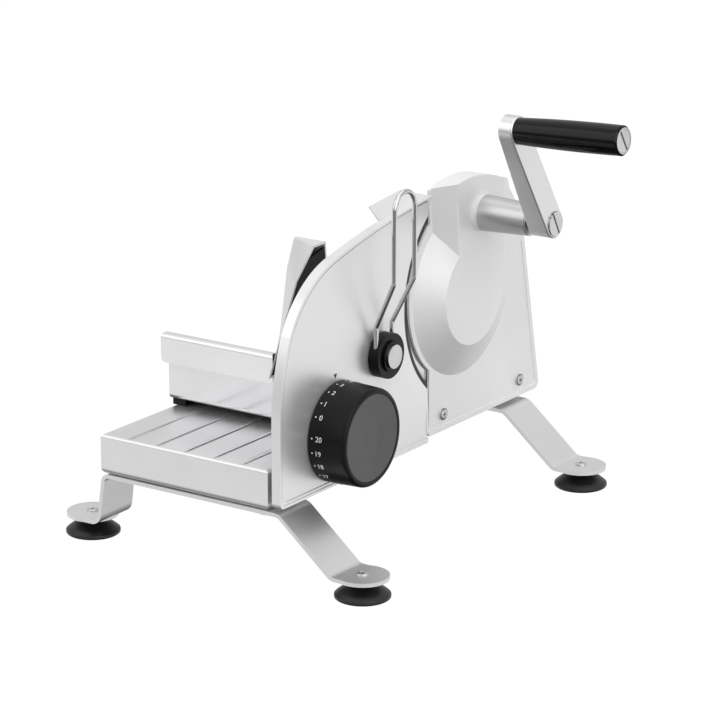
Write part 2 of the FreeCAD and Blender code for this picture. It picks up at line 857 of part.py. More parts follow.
def gear_case(name, inset, left, right):
    """The raised case over the crank gear: a slanted facet in front, a slanted wall behind."""
    body = new_body(name)
    centre = tuple(values("blade_y", "blade_z"))
    face, depth, run, tilt = values("housing_face", "housing_depth", "facet_run", "facet_tilt")
    low = centre[1] - value("cone_drop")
    under = low - value("case_dip")
    base = centre[0] + value("cone_base_shift") + value("cone_base_radius")
    tip = case_crown(inset)[0]
    wall = math.degrees(math.acos((base - centre[0]) / (value("guard_radius") - inset)))
    high = around(centre, value("guard_radius") - inset, wall)
    edges = crown_edges(inset) + [arc_about(centre, value("guard_radius") - inset,
                                            value("guard_start"), wall)]
    edges += rounded([high, (high[0], low), (tip[0], low), tip], closed=False)
    pad(body, draw(sketch(body, name + "_outline", "YZ", left), edges), f"({right}) - ({left})")

    lean = math.radians(tilt)
    slope = run * math.cos(lean) / depth
    start = (case_crown(0)[0][0] + value("facet_inset")) * math.cos(lean)
    start += (case_crown(0)[0][1] - under) * math.sin(lean) + inset * math.hypot(1, slope)
    front = sketch(body, name + "_facet", "XY", "blade_z - cone_drop - case_dip")
    front.AttachmentOffset = FreeCAD.Placement(FreeCAD.Vector(), FreeCAD.Rotation(X_AXIS, tilt))
    draw(front, rounded(wedge_corners(face, depth, start, slope, -1)))
    pocket(body, front, "case_top", backwards=True)

    slope = value("cone_slope") + value("cone_shear")
    start = base - inset * math.hypot(1, slope)
    back = sketch(body, name + "_back", "XY", "blade_z - cone_drop - case_dip")
    draw(back, rounded(wedge_corners(face, depth, start, -slope, 1)))
    pocket(body, back, "case_top", backwards=True)
    return body


def wedge_corners(face, depth, start, slope, side):
    """A wedge (x, y) on one side of a slanted line that starts at the flat plate's face."""
    near, far = face - depth, face + 2 * depth
    low, high = start - depth * slope, start + 2 * depth * slope
    clear = 5 * depth * side
    return [(near, low), (far, high), (far, high + clear), (near, low + clear)]


def cone_ring(place, inset):
    """One end of the leaning cone, at a place along X, as four arcs."""
    reach = place - value("housing_face")
    radius = value("cone_base_radius") - reach * value("cone_slope") - inset
    centre = (value("blade_y") + value("cone_base_shift") - reach * value("cone_shear"),
              value("blade_z") - value("cone_drop"))
    arcs = []
    for start in range(45, 405, 90):
        spots = [around(centre, radius, angle) for angle in (start, start + 45, start + 90)]
        arcs.append(Part.Arc(*[FreeCAD.Vector(place, *spot) for spot in spots]).toShape())
    return Part.Wire(arcs)


def leaning_cone(name, start, end, inset):
    """A cone between two circles, whose outer end leans to the front."""
    thing = doc.addObject("Part::Feature", name)
    thing.Shape = Part.makeLoft([cone_ring(value(start), inset), cone_ring(value(end), inset)],
                                True, True)
    return thing


def housing():
    axis = ("blade_y", "blade_z")
    crank = ("crank_y", "crank_z")
    outer_cone = leaning_cone("housing_cone", "housing_face", "housing_right", 0)
    inner_cone = leaning_cone("housing_hollow", "housing_left", "housing_inner",
                              value("cone_wall"))
    outer_case = gear_case("gear_case", 0, "housing_face", "housing_right")
    fillet(outer_case, "ridge_round", case_ridge, "gear_case_ridge")
    inner_case = gear_case("gear_case_hollow", value("housing_wall"), "housing_left",
                           "housing_inner")
    boss = cone("crank_boss", "X", "housing_right", "boss_end", crank, "boss_base_radius",
                "boss_end_radius")
    collar = rod("boss_collar", "X", "housing_right", "housing_right + boss_ring_width", crank,
                 "boss_ring_radius")
    seat = rod("blade_bush_seat", "X", "gear_right + 0.5", "housing_right", axis, "bush_radius + 3")
    crank_seat = rod("crank_bush_seat", "X", "gear_right + 0.5", "housing_right", crank,
                     "crank_bush_radius + 3")
    outside = fuse("housing_outside", housing_skin(), outer_cone, outer_case)
    posts = [rod(f"plate_post_{number}", "X", "plate_right", "housing_right + 1", place,
                 "post_radius") for number, place in enumerate(plate_posts())]
    room = cut("housing_room", fuse("housing_room_form", inner_cone, inner_case), *posts)
    shell = cut("housing_shell", outside, room)
    solid = fuse("housing_solid", shell, boss, collar, seat, crank_seat)
    holes = [
        rod("crank_bore", "X", "gear_right", "boss_end + 1", crank, "crank_bush_radius"),
        rod("blade_bore", "X", "gear_right", "housing_right - 1", axis, "bush_radius"),
    ]
    for number, place in enumerate(plate_posts()):
        holes.append(rod(f"post_hole_{number}", "X", "plate_right - 1", "plate_right + 7", place,
                         "plate_screw_radius + running_gap"))
    for name, y in HOUSING_SCREWS.items():
        holes.append(rod(f"housing_{name}_hole", "X", "housing_left - 1", "housing_face + 1",
                         (y, "housing_screw_z"), "housing_screw_radius + running_gap"))
    piece("blade_housing", cut("housing_casting", solid, housing_groove(), *holes))


def case_ridge(edge):
    """The edge between the gear case's outer face and its facet."""
    box = edge.BoundBox
    on_face = within(edge, "X", value("housing_right"))
    return on_face and box.YMax < value("blade_y") and box.ZLength > value("post_reach")


def housing_groove():
    """A shallow groove that follows the skirt's bottom and back edges."""
    body = new_body("skirt_groove")
    centre = tuple(values("blade_y", "blade_z"))
    front, back, bottom, guard = values("housing_front", "housing_back", "skirt_bottom",
                                        "guard_radius")
    inset, width, corner = values("groove_inset", "groove_width", "skirt_corner")
    rim = [around(centre, guard, guard_tangent()), (back, bottom), (front - 1, bottom)]
    near, far = offset_line(rim, -inset), offset_line(rim, -inset - width)
    ring = [(*near[0],), (*near[1], corner - 2), (*near[2],)]
    ring += [(*far[2],), (*far[1], corner - 4), (*far[0],)]
    pad(body, draw(sketch(body, "groove_outline", "YZ", "housing_face - groove_depth"),
                   rounded(ring)), "groove_depth + 1")
    return body


def plate_posts():
    """Places (y, z) of the posts that carry the bearing plate."""
    low = [f"post_circle * {part}" for part in ("cos(205)", "sin(205)", "cos(335)", "sin(335)")]
    return [
        (f"blade_y + {low[0]}", f"blade_z + {low[1]}"),
        (f"blade_y + {low[2]}", f"blade_z + {low[3]}"),
        ("crank_y - post_reach", "crank_z + post_lift"),
        ("crank_y + post_reach", "crank_z + post_lift"),
    ]


def bearing_plate():
    """The plate inside the housing that carries the inner ends of both shafts."""
    axis = ("blade_y", "blade_z")
    crank = ("crank_y", "crank_z")
    ends = ("housing_face", "plate_right")
    disc = rod("plate_disc", "X", *ends, axis, "post_circle + post_radius + 1")
    upper = block("plate_upper",
                  ("housing_face", "crank_y - post_reach - post_radius", "blade_z"),
                  ("plate_right", "crank_y + post_reach + post_radius",
                   "crank_z + post_lift + post_radius"))
    holes = [
        rod("plate_blade_hole", "X", *ends, axis, "bush_radius"),
        rod("plate_crank_hole", "X", *ends, crank, "crank_bush_radius"),
    ]
    screws = []
    for number, place in enumerate(plate_posts()):
        holes.append(rod(f"plate_screw_hole_{number}", "X", *ends, place,
                         "plate_screw_radius + running_gap"))
        shank = rod(f"plate_screw_{number}_shank", "X", "housing_face", "plate_right + 6", place,
                    "plate_screw_radius")
        head = rod(f"plate_screw_{number}_head", "X", "housing_face - 1.4", "housing_face", place,
                   "plate_screw_radius * 1.9")
        screws.append(fuse(f"plate_screw_{number}", shank, head))
    piece("bearing_plate", cut("plate_blank", fuse("plate_form", disc, upper), *holes))
    piece("bearing_plate_screws", group("plate_screw_set", *screws))


def bush(name, start, end, across, bore, radius):
    outside = rod(name + "_outside", "X", start, end, across, radius)
    hole = rod(name + "_hole", "X", start, end, across, bore)
    return cut(name, outside, hole)


def bushes():
    axis = ("blade_y", "blade_z")
    crank = ("crank_y", "crank_z")
    blade_bore = "blade_shaft_radius + running_gap"
    crank_bore = "crank_shaft_radius + running_gap"
    piece("blade_bushes", group(
        "blade_bush_set",
        bush("blade_bush_left", "housing_face", "plate_right", axis, blade_bore, "bush_radius"),
        bush("blade_bush_right", "gear_right + 0.5", "housing_right - 1", axis, blade_bore,
             "bush_radius"),
    ))
    piece("crank_bushes", group(
        "crank_bush_set",
        bush("crank_bush_left", "housing_face", "plate_right", crank, crank_bore,
             "crank_bush_radius"),
        bush("crank_bush_middle", "gear_right + 0.5", "gear_right + 0.5 + boss_bush_length", crank,
             crank_bore, "crank_bush_radius"),
        bush("crank_bush_right", "boss_end - boss_bush_length", "boss_end", crank, crank_bore,
             "crank_bush_radius"),
    ))
    ring = rod("boss_end_ring_outside", "X", "boss_end", "boss_end + 1.2", crank,
               "boss_end_radius - 0.6")
    hole = rod("boss_end_ring_hole", "X", "boss_end", "boss_end + 1.2", crank,
               "crank_shaft_radius + 0.3")
    piece("boss_end_ring", cut("boss_end_ring_blank", ring, hole))


def housing_fixings():
    """Screws through the housing, spacers and tray wall into a bracket behind the wall."""
    screws, spacers, threads = [], [], []
    for name, y in HOUSING_SCREWS.items():
        place = (y, "housing_screw_z")
        screws.append(pan_screw("housing_" + name, "X", "housing_face", place,
                                "housing_screw_radius", "housing_screw_head",
                                "housing_screw_head_height",
                                "housing_face - wall_inner + housing_bracket_gauge + 1"))
        spacers.append(bush(f"spacer_{name}", "tray_right", "housing_left", place,
                            "housing_screw_radius + running_gap", "housing_screw_radius + 3.5"))
        threads.append(rod(f"bracket_{name}_hole", "X", "wall_inner - housing_bracket_gauge",
                           "wall_inner", place, "housing_screw_radius + running_gap"))
    piece("housing_screws", group("housing_screw_set", *screws))
    piece("housing_spacers", group("spacer_set", *spacers))
    front, back = HOUSING_SCREWS["front_screw"], HOUSING_SCREWS["back_screw"]
    bar = block("bracket_bar",
                ("wall_inner - housing_bracket_gauge", f"{front} - housing_bracket_margin",
                 "housing_screw_z - 8"),
                ("wall_inner", f"{back} + housing_bracket_margin", "housing_screw_z + 8"))
    piece("housing_bracket", cut("bracket_plate", bar, *threads))


# Blade and its drive
def gear_edges(teeth, module, tip, root, slack, turn, steps):
    """Straight edges of a spur gear's outline, with involute flanks."""
    pitch = teeth * module / 2
    base = pitch * math.cos(PRESSURE)
    half = math.pi / 2 / teeth - slack / pitch + math.tan(PRESSURE) - PRESSURE

    def width(radius):
        angle = math.acos(min(1, base / radius))
        return half - math.tan(angle) + angle

    start = max(base, root)
    radii = [start + (tip - start) * step / steps for step in range(steps + 1)]
    radii = [root] + radii if root < base else radii
    flank = [(radius, width(max(radius, base))) for radius in radii]
    spots = []
    for tooth in range(teeth):
        middle = turn + 2 * math.pi * tooth / teeth
        for radius, angle in flank:
            spots.append((radius, middle - angle))
        for radius, angle in reversed(flank):
            spots.append((radius, middle + angle))
    corners = [FreeCAD.Vector(0, r * math.cos(a), r * math.sin(a)) for r, a in spots]
    return Part.makePolygon(corners + corners[:1])


def solid_gear(name, outline, width):
    """A straight prism along X from a gear outline."""
    thing = doc.addObject("Part::Feature", name)
    thing.Shape = Part.Face(outline).extrude(X_AXIS * width)
    return thing


def spur_gear(node, teeth, turn, place, bore):
    module, width, slack = values("gear_module", "gear_width", "gear_slack")
    pitch = teeth * module / 2
    outline = gear_edges(teeth, module, pitch + module, pitch - 1.25 * module, slack, turn, 3)
    blank = solid_gear(node + "_blank", outline, width)
    put(blank, "gear_left", *place)
    hole = rod(node + "_bore", "X", "gear_left - 1", "gear_right + 1", place, bore)
    return piece(node, cut(node + "_wheel", blank, hole))


def drive_gears():
    """The crank gear points a tooth at the blade's axis, where the blade gear has a gap."""
    down = math.radians(-90 - value("gear_lean"))
    up = down + math.pi
    crank_teeth, blade_teeth = int(value("crank_teeth")), int(value("blade_teeth"))
    spur_gear("crank_gear", crank_teeth, down, ("crank_y", "crank_z"), "crank_shaft_radius + 0.02")
    spur_gear("blade_gear", blade_teeth, up + math.pi / blade_teeth, ("blade_y", "blade_z"),
              "blade_shaft_radius + 0.02")


def blade():
    """A round blade, ground on its right side, with a waved edge."""
    axis = ("blade_y", "blade_z")
    radius, gauge, bevel, depth = values("blade_radius", "blade_gauge", "blade_bevel", "wave_depth")
    hole = value("lock_cap_radius") + 0.3
    section = rounded([(0, hole), (0, radius), (0.25, radius), (gauge, radius - bevel),
                       (gauge, hole)])
    disc = turned_body("blade_disc", section, "blade_face", *axis)
    waves = int(value("blade_waves"))
    span = 2 * math.pi * radius / waves
    scoop = (span**2 / 8 + depth**2 / 2) / depth
    notches = []
    for wave in range(waves):
        turn = 360 / waves * wave
        centre = around(values(*axis), radius + scoop - depth, turn)
        notch = Part.makeCylinder(scoop, gauge + 2, FreeCAD.Vector(value("blade_face") - 1, *centre),
                                  X_AXIS)
        notches.append(notch)
    scoops = doc.addObject("Part::Feature", "blade_scoops")
    scoops.Shape = Part.makeCompound(notches)
    piece("blade", cut("blade_ground", disc, scoops))


def blade_drive():
    axis = ("blade_y", "blade_z")
    hub = rod("hub_disc", "X", "blade_right", "hub_right", axis, "blade_hub_radius")
    drive = hexagon("hub_drive", "X", "blade_right - 1", "hub_right + 1", axis,
                    "blade_shaft_radius - 0.2")
    piece("blade_hub", cut("hub_plate", hub, drive))
    rivets = []
    ring = "(lock_cap_radius + blade_hub_radius) / 2 + 0.4"
    for number, angle in enumerate((90, 210, 330)):
        place = (f"blade_y + ({ring}) * cos({angle})", f"blade_z + ({ring}) * sin({angle})")
        rivets.append(rod(f"hub_rivet_{number}", "X", "hub_right", "hub_right + 0.3", place, "1.2"))
    piece("blade_hub_rivets", group("hub_rivet_set", *rivets))
    cap = rod("lock_cap_disc", "X", "blade_face + 0.1", "blade_right", axis, "lock_cap_radius")
    slot = block("lock_cap_slot",
                 ("blade_face - 1", "blade_y - lock_cap_radius * 0.7", "blade_z - slot_width / 2"),
                 ("blade_face + slot_depth * 0.6", "blade_y + lock_cap_radius * 0.7",
                  "blade_z + slot_width / 2"))
    stem = rod("lock_cap_stem", "X", "blade_right - 0.2", "gear_left", axis, "2.5")
    piece("blade_lock_cap", cut("lock_cap", fuse("lock_cap_form", cap, stem), slot))
    tail = hexagon("blade_shaft_drive", "X", "blade_right + 0.1", "hub_right", axis,
                   "blade_shaft_radius - 0.3")
    journal = rod("blade_shaft_journal", "X", "hub_right", "housing_right - 1.2", axis,
                  "blade_shaft_radius")
    bore = rod("blade_shaft_bore", "X", "blade_right", "gear_left + 0.2", axis, "2.55")
    piece("blade_shaft", cut("blade_shaft_turned", fuse("blade_shaft_form", tail, journal), bore))


# Crank
def crank_turn():
    return FreeCAD.Rotation(X_AXIS, value("crank_angle"))


def crank_arm():
    """A flat bar with round ends, thinner towards the grip, modelled upright at the hub."""
    body = new_body("arm_bar")
    reach, width, hub, tip = values("crank_radius", "arm_width", "arm_hub_gauge", "arm_tip_gauge")
    half = width / 2
    edges = [arc_about((0, reach), half, 0, 180), arc_about((0, 0), half, 180, 360)]
    edges += rounded([(-half, reach), (-half, 0)], closed=False)
    edges += rounded([(half, 0), (half, reach)], closed=False)
    pad(body, draw(sketch(body, "arm_outline", "YZ"), edges), "arm_hub_gauge + 3")
    slope = (hub - tip) / reach
    wedge = [(hub + slope * half * 1.5, -half * 1.5), (hub - slope * (reach + half * 1.5),
             reach + half * 1.5), (hub + 5, reach + half * 1.5), (hub + 5, -half * 1.5)]
    face = draw(sketch(body, "arm_slope", "XZ", "arm_width"), rounded(wedge))
    pocket(body, face, "arm_width * 2", backwards=False)
    fillet(body, "1.2", arm_rim_edge, "arm_edge")
    seat = circle(sketch(body, "arm_cap_seat", "YZ", "arm_hub_gauge + 3"), "0", "0",
                  "crank_cap_radius + 0.3")
    pocket(body, seat, "crank_cap_height - crank_cap_rise + 3")
    drive = sketch(body, "arm_drive_hole", "YZ", "arm_hub_gauge")
    side = value("arm_drive") / 2 + 0.05
    draw(drive, rounded([(-side, -side), (side, -side), (side, side), (-side, side)]))
    pocket(body, drive, "arm_hub_gauge")
    pin_hole = circle(sketch(body, "arm_pin_hole", "YZ", "arm_hub_gauge"), "0", "crank_radius",
                      "grip_pin_radius + 0.4")
    pocket(body, pin_hole, "arm_hub_gauge - arm_tip_gauge + grip_pin_depth + 0.6")
    body.Placement = FreeCAD.Placement(FreeCAD.Vector(), crank_turn())
    put(body, "arm_left", "crank_y", "crank_z")
    piece("crank_arm", body)


def arm_rim_edge(edge):
    """The long outline edges of the arm's outer face."""
    return edge.BoundBox.XMin > value("arm_tip_gauge") - 3


def crank_shaft():
    axis = ("crank_y", "crank_z")
    journal = rod("crank_journal", "X", "housing_face + 0.2", "arm_left", axis,
                  "crank_shaft_radius")
    drive = hexagon("crank_drive", "X", "arm_left", "arm_right - crank_cap_height", axis,
                    "arm_drive / sqrt(2)")
    drive.Polygon = 4
    turn = FreeCAD.Rotation(X_AXIS, value("crank_angle") + 45)
    drive.Placement = FreeCAD.Placement(drive.Placement.Base, turn.multiply(TURN["X"]))
    bore = rod("crank_shaft_bore", "X", "arm_left + 1", "arm_right", axis, "3.05")
    piece("crank_shaft", cut("crank_shaft_turned", fuse("crank_shaft_form", journal, drive), bore))
    seat = "arm_right - crank_cap_height + crank_cap_rise"
    cap = rod("crank_cap_disc", "X", seat, f"{seat} + crank_cap_height", axis, "crank_cap_radius")
    stem = rod("crank_cap_stem", "X", "arm_left + 1.5", seat, axis, "3")
    slot = slot_bar("crank_cap_slot", "crank_cap_radius", "arm_right + crank_cap_rise", axis)
    piece("crank_cap", cut("crank_cap_screw", fuse("crank_cap_form", cap, stem), slot))


def slot_bar(name, radius, face, across):
    """A bar that cuts a screwdriver slot, laid along the crank's arm."""
    bar = doc.addObject("Part::Box", name)
    bind(bar, Length="slot_depth + 1", Width="slot_width", Height=f"({radius}) * 3")
    half = FreeCAD.Vector(0, value("slot_width") / 2, value(radius) * 1.5)
    turned = crank_turn().multVec(half)
    bar.Placement = FreeCAD.Placement(FreeCAD.Vector(), crank_turn())
    put(bar, f"({face}) - slot_depth", f"({across[0]}) - ({turned.y})",
        f"({across[1]}) - ({turned.z})")
    return bar


def grip_place():
    """The grip stands square on the arm's slanted outer face."""
    hub, tip, reach = values("arm_hub_gauge", "arm_tip_gauge", "crank_radius")
    lean = math.degrees(math.atan((hub - tip) / reach))
    arm = FreeCAD.Placement(FreeCAD.Vector(*values("arm_left", "crank_y", "crank_z")), crank_turn())
    seat = FreeCAD.Placement(FreeCAD.Vector(tip, 0, reach), FreeCAD.Rotation(Y_AXIS, -lean))
    return arm.multiply(seat)


def grip():
    length, start, middle, end = values("grip_length", "grip_start_radius", "grip_middle_radius",
                                        "grip_end_radius")
    bore = value("grip_pin_radius") + value("running_gap")
    ring, head, height = values("grip_ring_radius", "grip_head_radius", "grip_head_height")
    seat = length - height
    swell = Part.Arc(FreeCAD.Vector(0.4, start, 0), FreeCAD.Vector(length * 0.55, middle, 0),
                     FreeCAD.Vector(length - 1.2, end, 0))
    edges = [swell] + rounded([
        (length - 1.2, end), (length, end - 1.2), (length, ring), (seat, ring), (seat, bore),
        (0.4, bore), (0.4, start)], closed=False)
    handle = turned_body("grip_turned", edges, "0", "0", "0")
    collar = turned_body("grip_collar_turned", rounded([
        (seat, head + 0.15), (seat, ring - 0.02), (length + 0.2, ring - 0.02),
        (length + 0.2, head + 0.15)]), "0", "0", "0")
    depth = value("grip_pin_depth")
    radius = value("grip_pin_radius")
    pin = turned_body("grip_pin_turned", rounded([
        (-depth, 0), (-depth, radius), (seat + 0.2, radius), (seat + 0.2, head),
        (length, head), (length, 0)]), "0", "0", "0")
    slot = doc.addObject("Part::Box", "grip_pin_slot")
    bind(slot, Length="slot_depth + 1", Width="slot_width", Height="grip_head_radius * 3")
    put(slot, "grip_length - slot_depth", "-slot_width / 2", "-grip_head_radius * 1.5")
    slotted = cut("grip_pin_slotted", pin, slot)
    for node, thing in (("grip", handle), ("grip_collar", collar), ("grip_pin", slotted)):
        for path in ("x", "y", "z"):
            thing.setExpression("Placement.Base." + path, None)
        thing.Placement = grip_place()
        piece(node, thing)


# Stop plate
def stop_outline(inset=0):
    """Front, top and back edges of the stop plate, in (y, z)."""
    front, back, tip, tip_z, bottom = values("stop_front", "stop_back", "stop_tip", "stop_tip_z",
                                             "skirt_bottom")
    centre = tuple(values("blade_y", "blade_z"))
    radius = value("stop_arc") + inset
    back, tip, front, bottom = back - inset, tip - inset * 3, front + inset, bottom + inset
    reach = math.degrees(math.acos((centre[0] - back) / radius))
    shoulder = (front + 66, tip_z - 22 - inset)
    edges = [
        Part.LineSegment(FreeCAD.Vector(front, bottom + 4, 0),
                         FreeCAD.Vector(front, bottom + 58 - inset, 0)),
        Part.Arc(FreeCAD.Vector(front, bottom + 58 - inset, 0),
                 FreeCAD.Vector(front + 4.5, bottom + 101.5 - inset * 2, 0),
                 FreeCAD.Vector(front + 12.7, bottom + 128 - inset * 2, 0)),
        Part.Arc(FreeCAD.Vector(front + 12.7, bottom + 128 - inset * 2, 0),
                 FreeCAD.Vector(front + 34, bottom + 155.5 - inset * 2, 0),
                 FreeCAD.Vector(*shoulder, 0)),
    ]
    low = around(centre, radius, 180 + reach)
    high = around(centre, radius, 180 - reach)
    edges.append(Part.Arc(FreeCAD.Vector(*shoulder, 0),
                          FreeCAD.Vector((shoulder[0] + tip) / 2, tip_z - 8 - inset, 0),
                          FreeCAD.Vector(tip, tip_z - inset, 0)))
    edges += rounded([(tip, tip_z - inset), (back, high[1] + 9 - inset), high], closed=False)
    edges.append(arc_about(centre, radius, 180 - reach, 180 + reach))
    edges += rounded([low, (back, bottom, 2), (front, bottom, 4), (front, bottom + 4)],
                     closed=False)
    return edges


def stop_plate():
    """The plate in front of the blade: hollowed a little inside its rim, bevelled at the arc."""
    body = new_body("stop_plate_body")
    outline = draw(sketch(body, "stop_plate_outline", "YZ", "stop_left"), stop_outline())
    pad(body, outline, "stop_gauge")
    inner = draw(sketch(body, "stop_plate_rim", "YZ", "stop_right"),
                 stop_outline(value("stop_rim")))
    pocket(body, inner, "stop_recess")
    front, bottom, back, inset, width = values("stop_front", "skirt_bottom", "stop_back",
                                               "groove_inset", "groove_width")
    low = bottom + inset
    groove = draw(sketch(body, "stop_plate_groove", "YZ", "stop_right"), rounded([
        (front + 7, low), (back + 1, low), (back + 1, low + width), (front + 7, low + width)]))
    pocket(body, groove, "stop_recess + groove_depth")
    axis = ("blade_y", "blade_z")
    flare = "stop_bevel_width / (stop_bevel_depth - stop_recess)"
    bevel = cone("stop_bevel_cone", "X", "stop_right - stop_bevel_depth", "stop_right + 1", axis,
                 "stop_arc", f"stop_arc + (stop_bevel_depth + 1) * {flare}")
    seats = [
        rod("stop_rod_seat_front", "X", "stop_left - 1", "rod_right", ("rod_front", "rod_z"),
            "rod_radius + 0.02"),
        rod("stop_rod_seat_back", "X", "stop_left - 1", "rod_right", ("rod_back", "rod_z"),
            "rod_radius + 0.02"),
        rod("stop_spindle_seat", "X", "stop_left - 1", "stop_right + 1", ("knob_y", "spindle_z"),
            "spindle_journal + 1.5"),
        rod("stop_post_seat", "X", "stop_left + 2", "stop_right + 1", ("knob_y", "knob_z"),
            "knob_post_radius + 0.02"),
        rod("stop_stud_seat", "X", "stop_left + 2", "stop_right + 1",
            ("deflector_y", "deflector_z"), "stud_radius + 0.02"),
    ]
    piece("stop_plate", cut("stop_plate_casting", fuse("stop_plate_with_lip", body, stop_lip()),
                            bevel, *seats))


def stop_lip():
    """A thin plate that leans from the top rim towards the food."""
    x, tip, tip_z, length = values("stop_left", "stop_tip", "stop_tip_z", "lip_length")
    reach, rise, gauge = values("lip_reach", "lip_rise", "lip_gauge")
    low = FreeCAD.Vector(x + 0.5, tip - length, tip_z - 7.9)
    high = FreeCAD.Vector(x + 0.5, tip + 1, tip_z - 1)
    up = FreeCAD.Vector(-reach, 0, rise)
    run = high - low
    corners = [low, high, low + run * 0.64 + up, low + up]
    normal = run.cross(up).normalize()
    thing = doc.addObject("Part::Feature", "stop_lip")
    thing.Shape = Part.Face(Part.makePolygon(corners + corners[:1])).extrude(normal * gauge)
    return thing


def stop_slide():
    """Rods that ride with the stop plate, and the blocks that guide them."""
    rods, blocks, liners = [], [], []
    inner = "wall_inner - guide_block_length"
    for side in ("front", "back"):
        place = ("rod_" + side, "rod_z")
        rods.append(rod(f"guide_rod_{side}", "X", "rod_left", "rod_right", place, "rod_radius"))
        low, high = (f"rod_{side} - guide_block_width / 2", f"rod_{side} + guide_block_width / 2")
        bar = block(f"guide_block_{side}_bar", (inner, low, "base_height + tray_gauge"),
                    ("wall_inner", high, "guide_block_top"))
        bore = rod(f"guide_block_{side}_bore", "X", inner, "wall_inner", place,
                   "rod_radius + guide_liner")
        relief = block(f"guide_block_{side}_relief",
                       ("tray_right - tray_roll", low, "base_height"),
                       ("tray_right", high, "base_height + tray_roll"))
        blocks.append(cut(f"guide_block_{side}_drilled", bar, bore, relief))
        liners.append(bush(f"guide_bush_{side}", inner, "wall_inner", place,
                           "rod_radius + running_gap", "rod_radius + guide_liner"))
    piece("guide_rods", group("guide_rod_set", *rods))
    piece("guide_blocks", group("guide_block_set", *blocks))
    piece("guide_bushes", group("guide_bush_set", *liners))


# Thickness knob and its screw
def knob():
    """A hollow knob on a fixed post; its ring gear turns the feed spindle below the tray's top."""
    depth, outer, front, rim = values("knob_depth", "knob_radius", "knob_front_radius", "knob_rim")
    cap, wall, post = values("knob_cap_radius", "knob_wall", "knob_post_radius")
    bore = post + value("running_gap")
    seat = value("dial_gear_width") + 1
    section = rounded([
        (0, outer), (depth, front, rim), (depth, cap + 0.2), (depth - 2.2, cap + 0.2),
        (depth - 2.2, 10.5), (depth - 8.2, 10.5), (depth - 8.2, bore), (0.2, bore), (0.2, 10),
        (depth - 11, 10), (depth - 11, 14), (depth - 5, 14), (depth - 5, cap + 1),
        (seat, cap + 1.4), (seat, outer - wall), (0, outer - wall)])
    place = ("knob_left", "knob_y", "knob_z")
    piece("thickness_knob", turned_body("knob_turned", section, *place))
    cover = rounded([(depth - 0.4, cap), (depth - 1.3, cap / 3), (depth - 1.3, 0),
                     (depth - 2.2, 0), (depth - 2.2, cap)])
    piece("knob_cap", turned_body("knob_cap_turned", cover, *place))
    piece("knob_post", rod("knob_post", "X", "stop_left + 2", "knob_left + knob_post_length - 2",
                           ("knob_y", "knob_z"), "knob_post_radius"))
    ring = rod("post_ring_disc", "X", "knob_left + knob_post_length - 2",
               "knob_left + knob_post_length", ("knob_y", "knob_z"), "knob_post_radius + 3")
    piece("knob_post_ring", ring)


def dial_gears():
    """The knob's internal gear and the spindle's pinion below the knob's axis."""
    module, width = values("dial_module", "dial_gear_width")
    dial_teeth, pinion_teeth = int(value("dial_teeth")), int(value("pinion_teeth"))
    pitch = dial_teeth * module / 2
    down = -math.pi / 2
    space = gear_edges(dial_teeth, module, pitch + 1.25 * module, pitch - 0.5 * module, -0.08, down,
                       2)
    hollow = solid_gear("dial_gear_space", space, width + 2)
    put(hollow, "knob_left - 0.5", "knob_y", "knob_z")
    rim = rod("dial_gear_rim", "X", "knob_left + 0.5", "knob_left + 0.5 + dial_gear_width",
              ("knob_y", "knob_z"), "knob_radius - knob_wall - 0.05")
    piece("dial_gear", cut("dial_gear_ring", rim, hollow))
    small = pinion_teeth * module / 2
    teeth = gear_edges(pinion_teeth, module, small + module, small - 0.9 * module, 0.08, down, 3)
    blank = solid_gear("pinion_blank", teeth, width - 0.5)
    put(blank, "knob_left + 0.7", "knob_y", "spindle_z")
    hole = rod("pinion_bore", "X", "knob_left", "knob_left + 12", ("knob_y", "spindle_z"),
               "spindle_journal + 0.02")
    piece("feed_pinion", cut("pinion_wheel", blank, hole))


def feed_screw():
    axis = ("knob_y", "spindle_z")
    screw = rod("spindle_screw", "X", "stop_left - 0.4 - spindle_length", "stop_left - 0.4", axis,
                "spindle_radius")
    journal = rod("spindle_neck", "X", "stop_left - 0.4", "knob_left + dial_gear_width + 1.5",
                  axis, "spindle_journal")
    piece("feed_spindle", fuse("spindle_turned", screw, journal))
    piece("spindle_bush", bush("spindle_bush", "stop_left", "stop_right - stop_recess", axis,
                               "spindle_journal + running_gap", "spindle_journal + 1.5"))
    bar = block("nut_bar", ("wall_inner - nut_length", "knob_y - nut_width / 2", "base_height + 9"),
                ("wall_inner", "knob_y + nut_width / 2", "roof_inner"))
    thread = rod("nut_thread", "X", "wall_inner - nut_length", "wall_inner", axis,
                 "spindle_radius + running_gap")
    corner = block("nut_corner", ("wall_inner - 1.2", "knob_y - nut_width / 2", "roof_inner - 1.2"),
                   ("wall_inner", "knob_y + nut_width / 2", "roof_inner"))
    piece("feed_nut", cut("nut_drilled", bar, thread, corner))


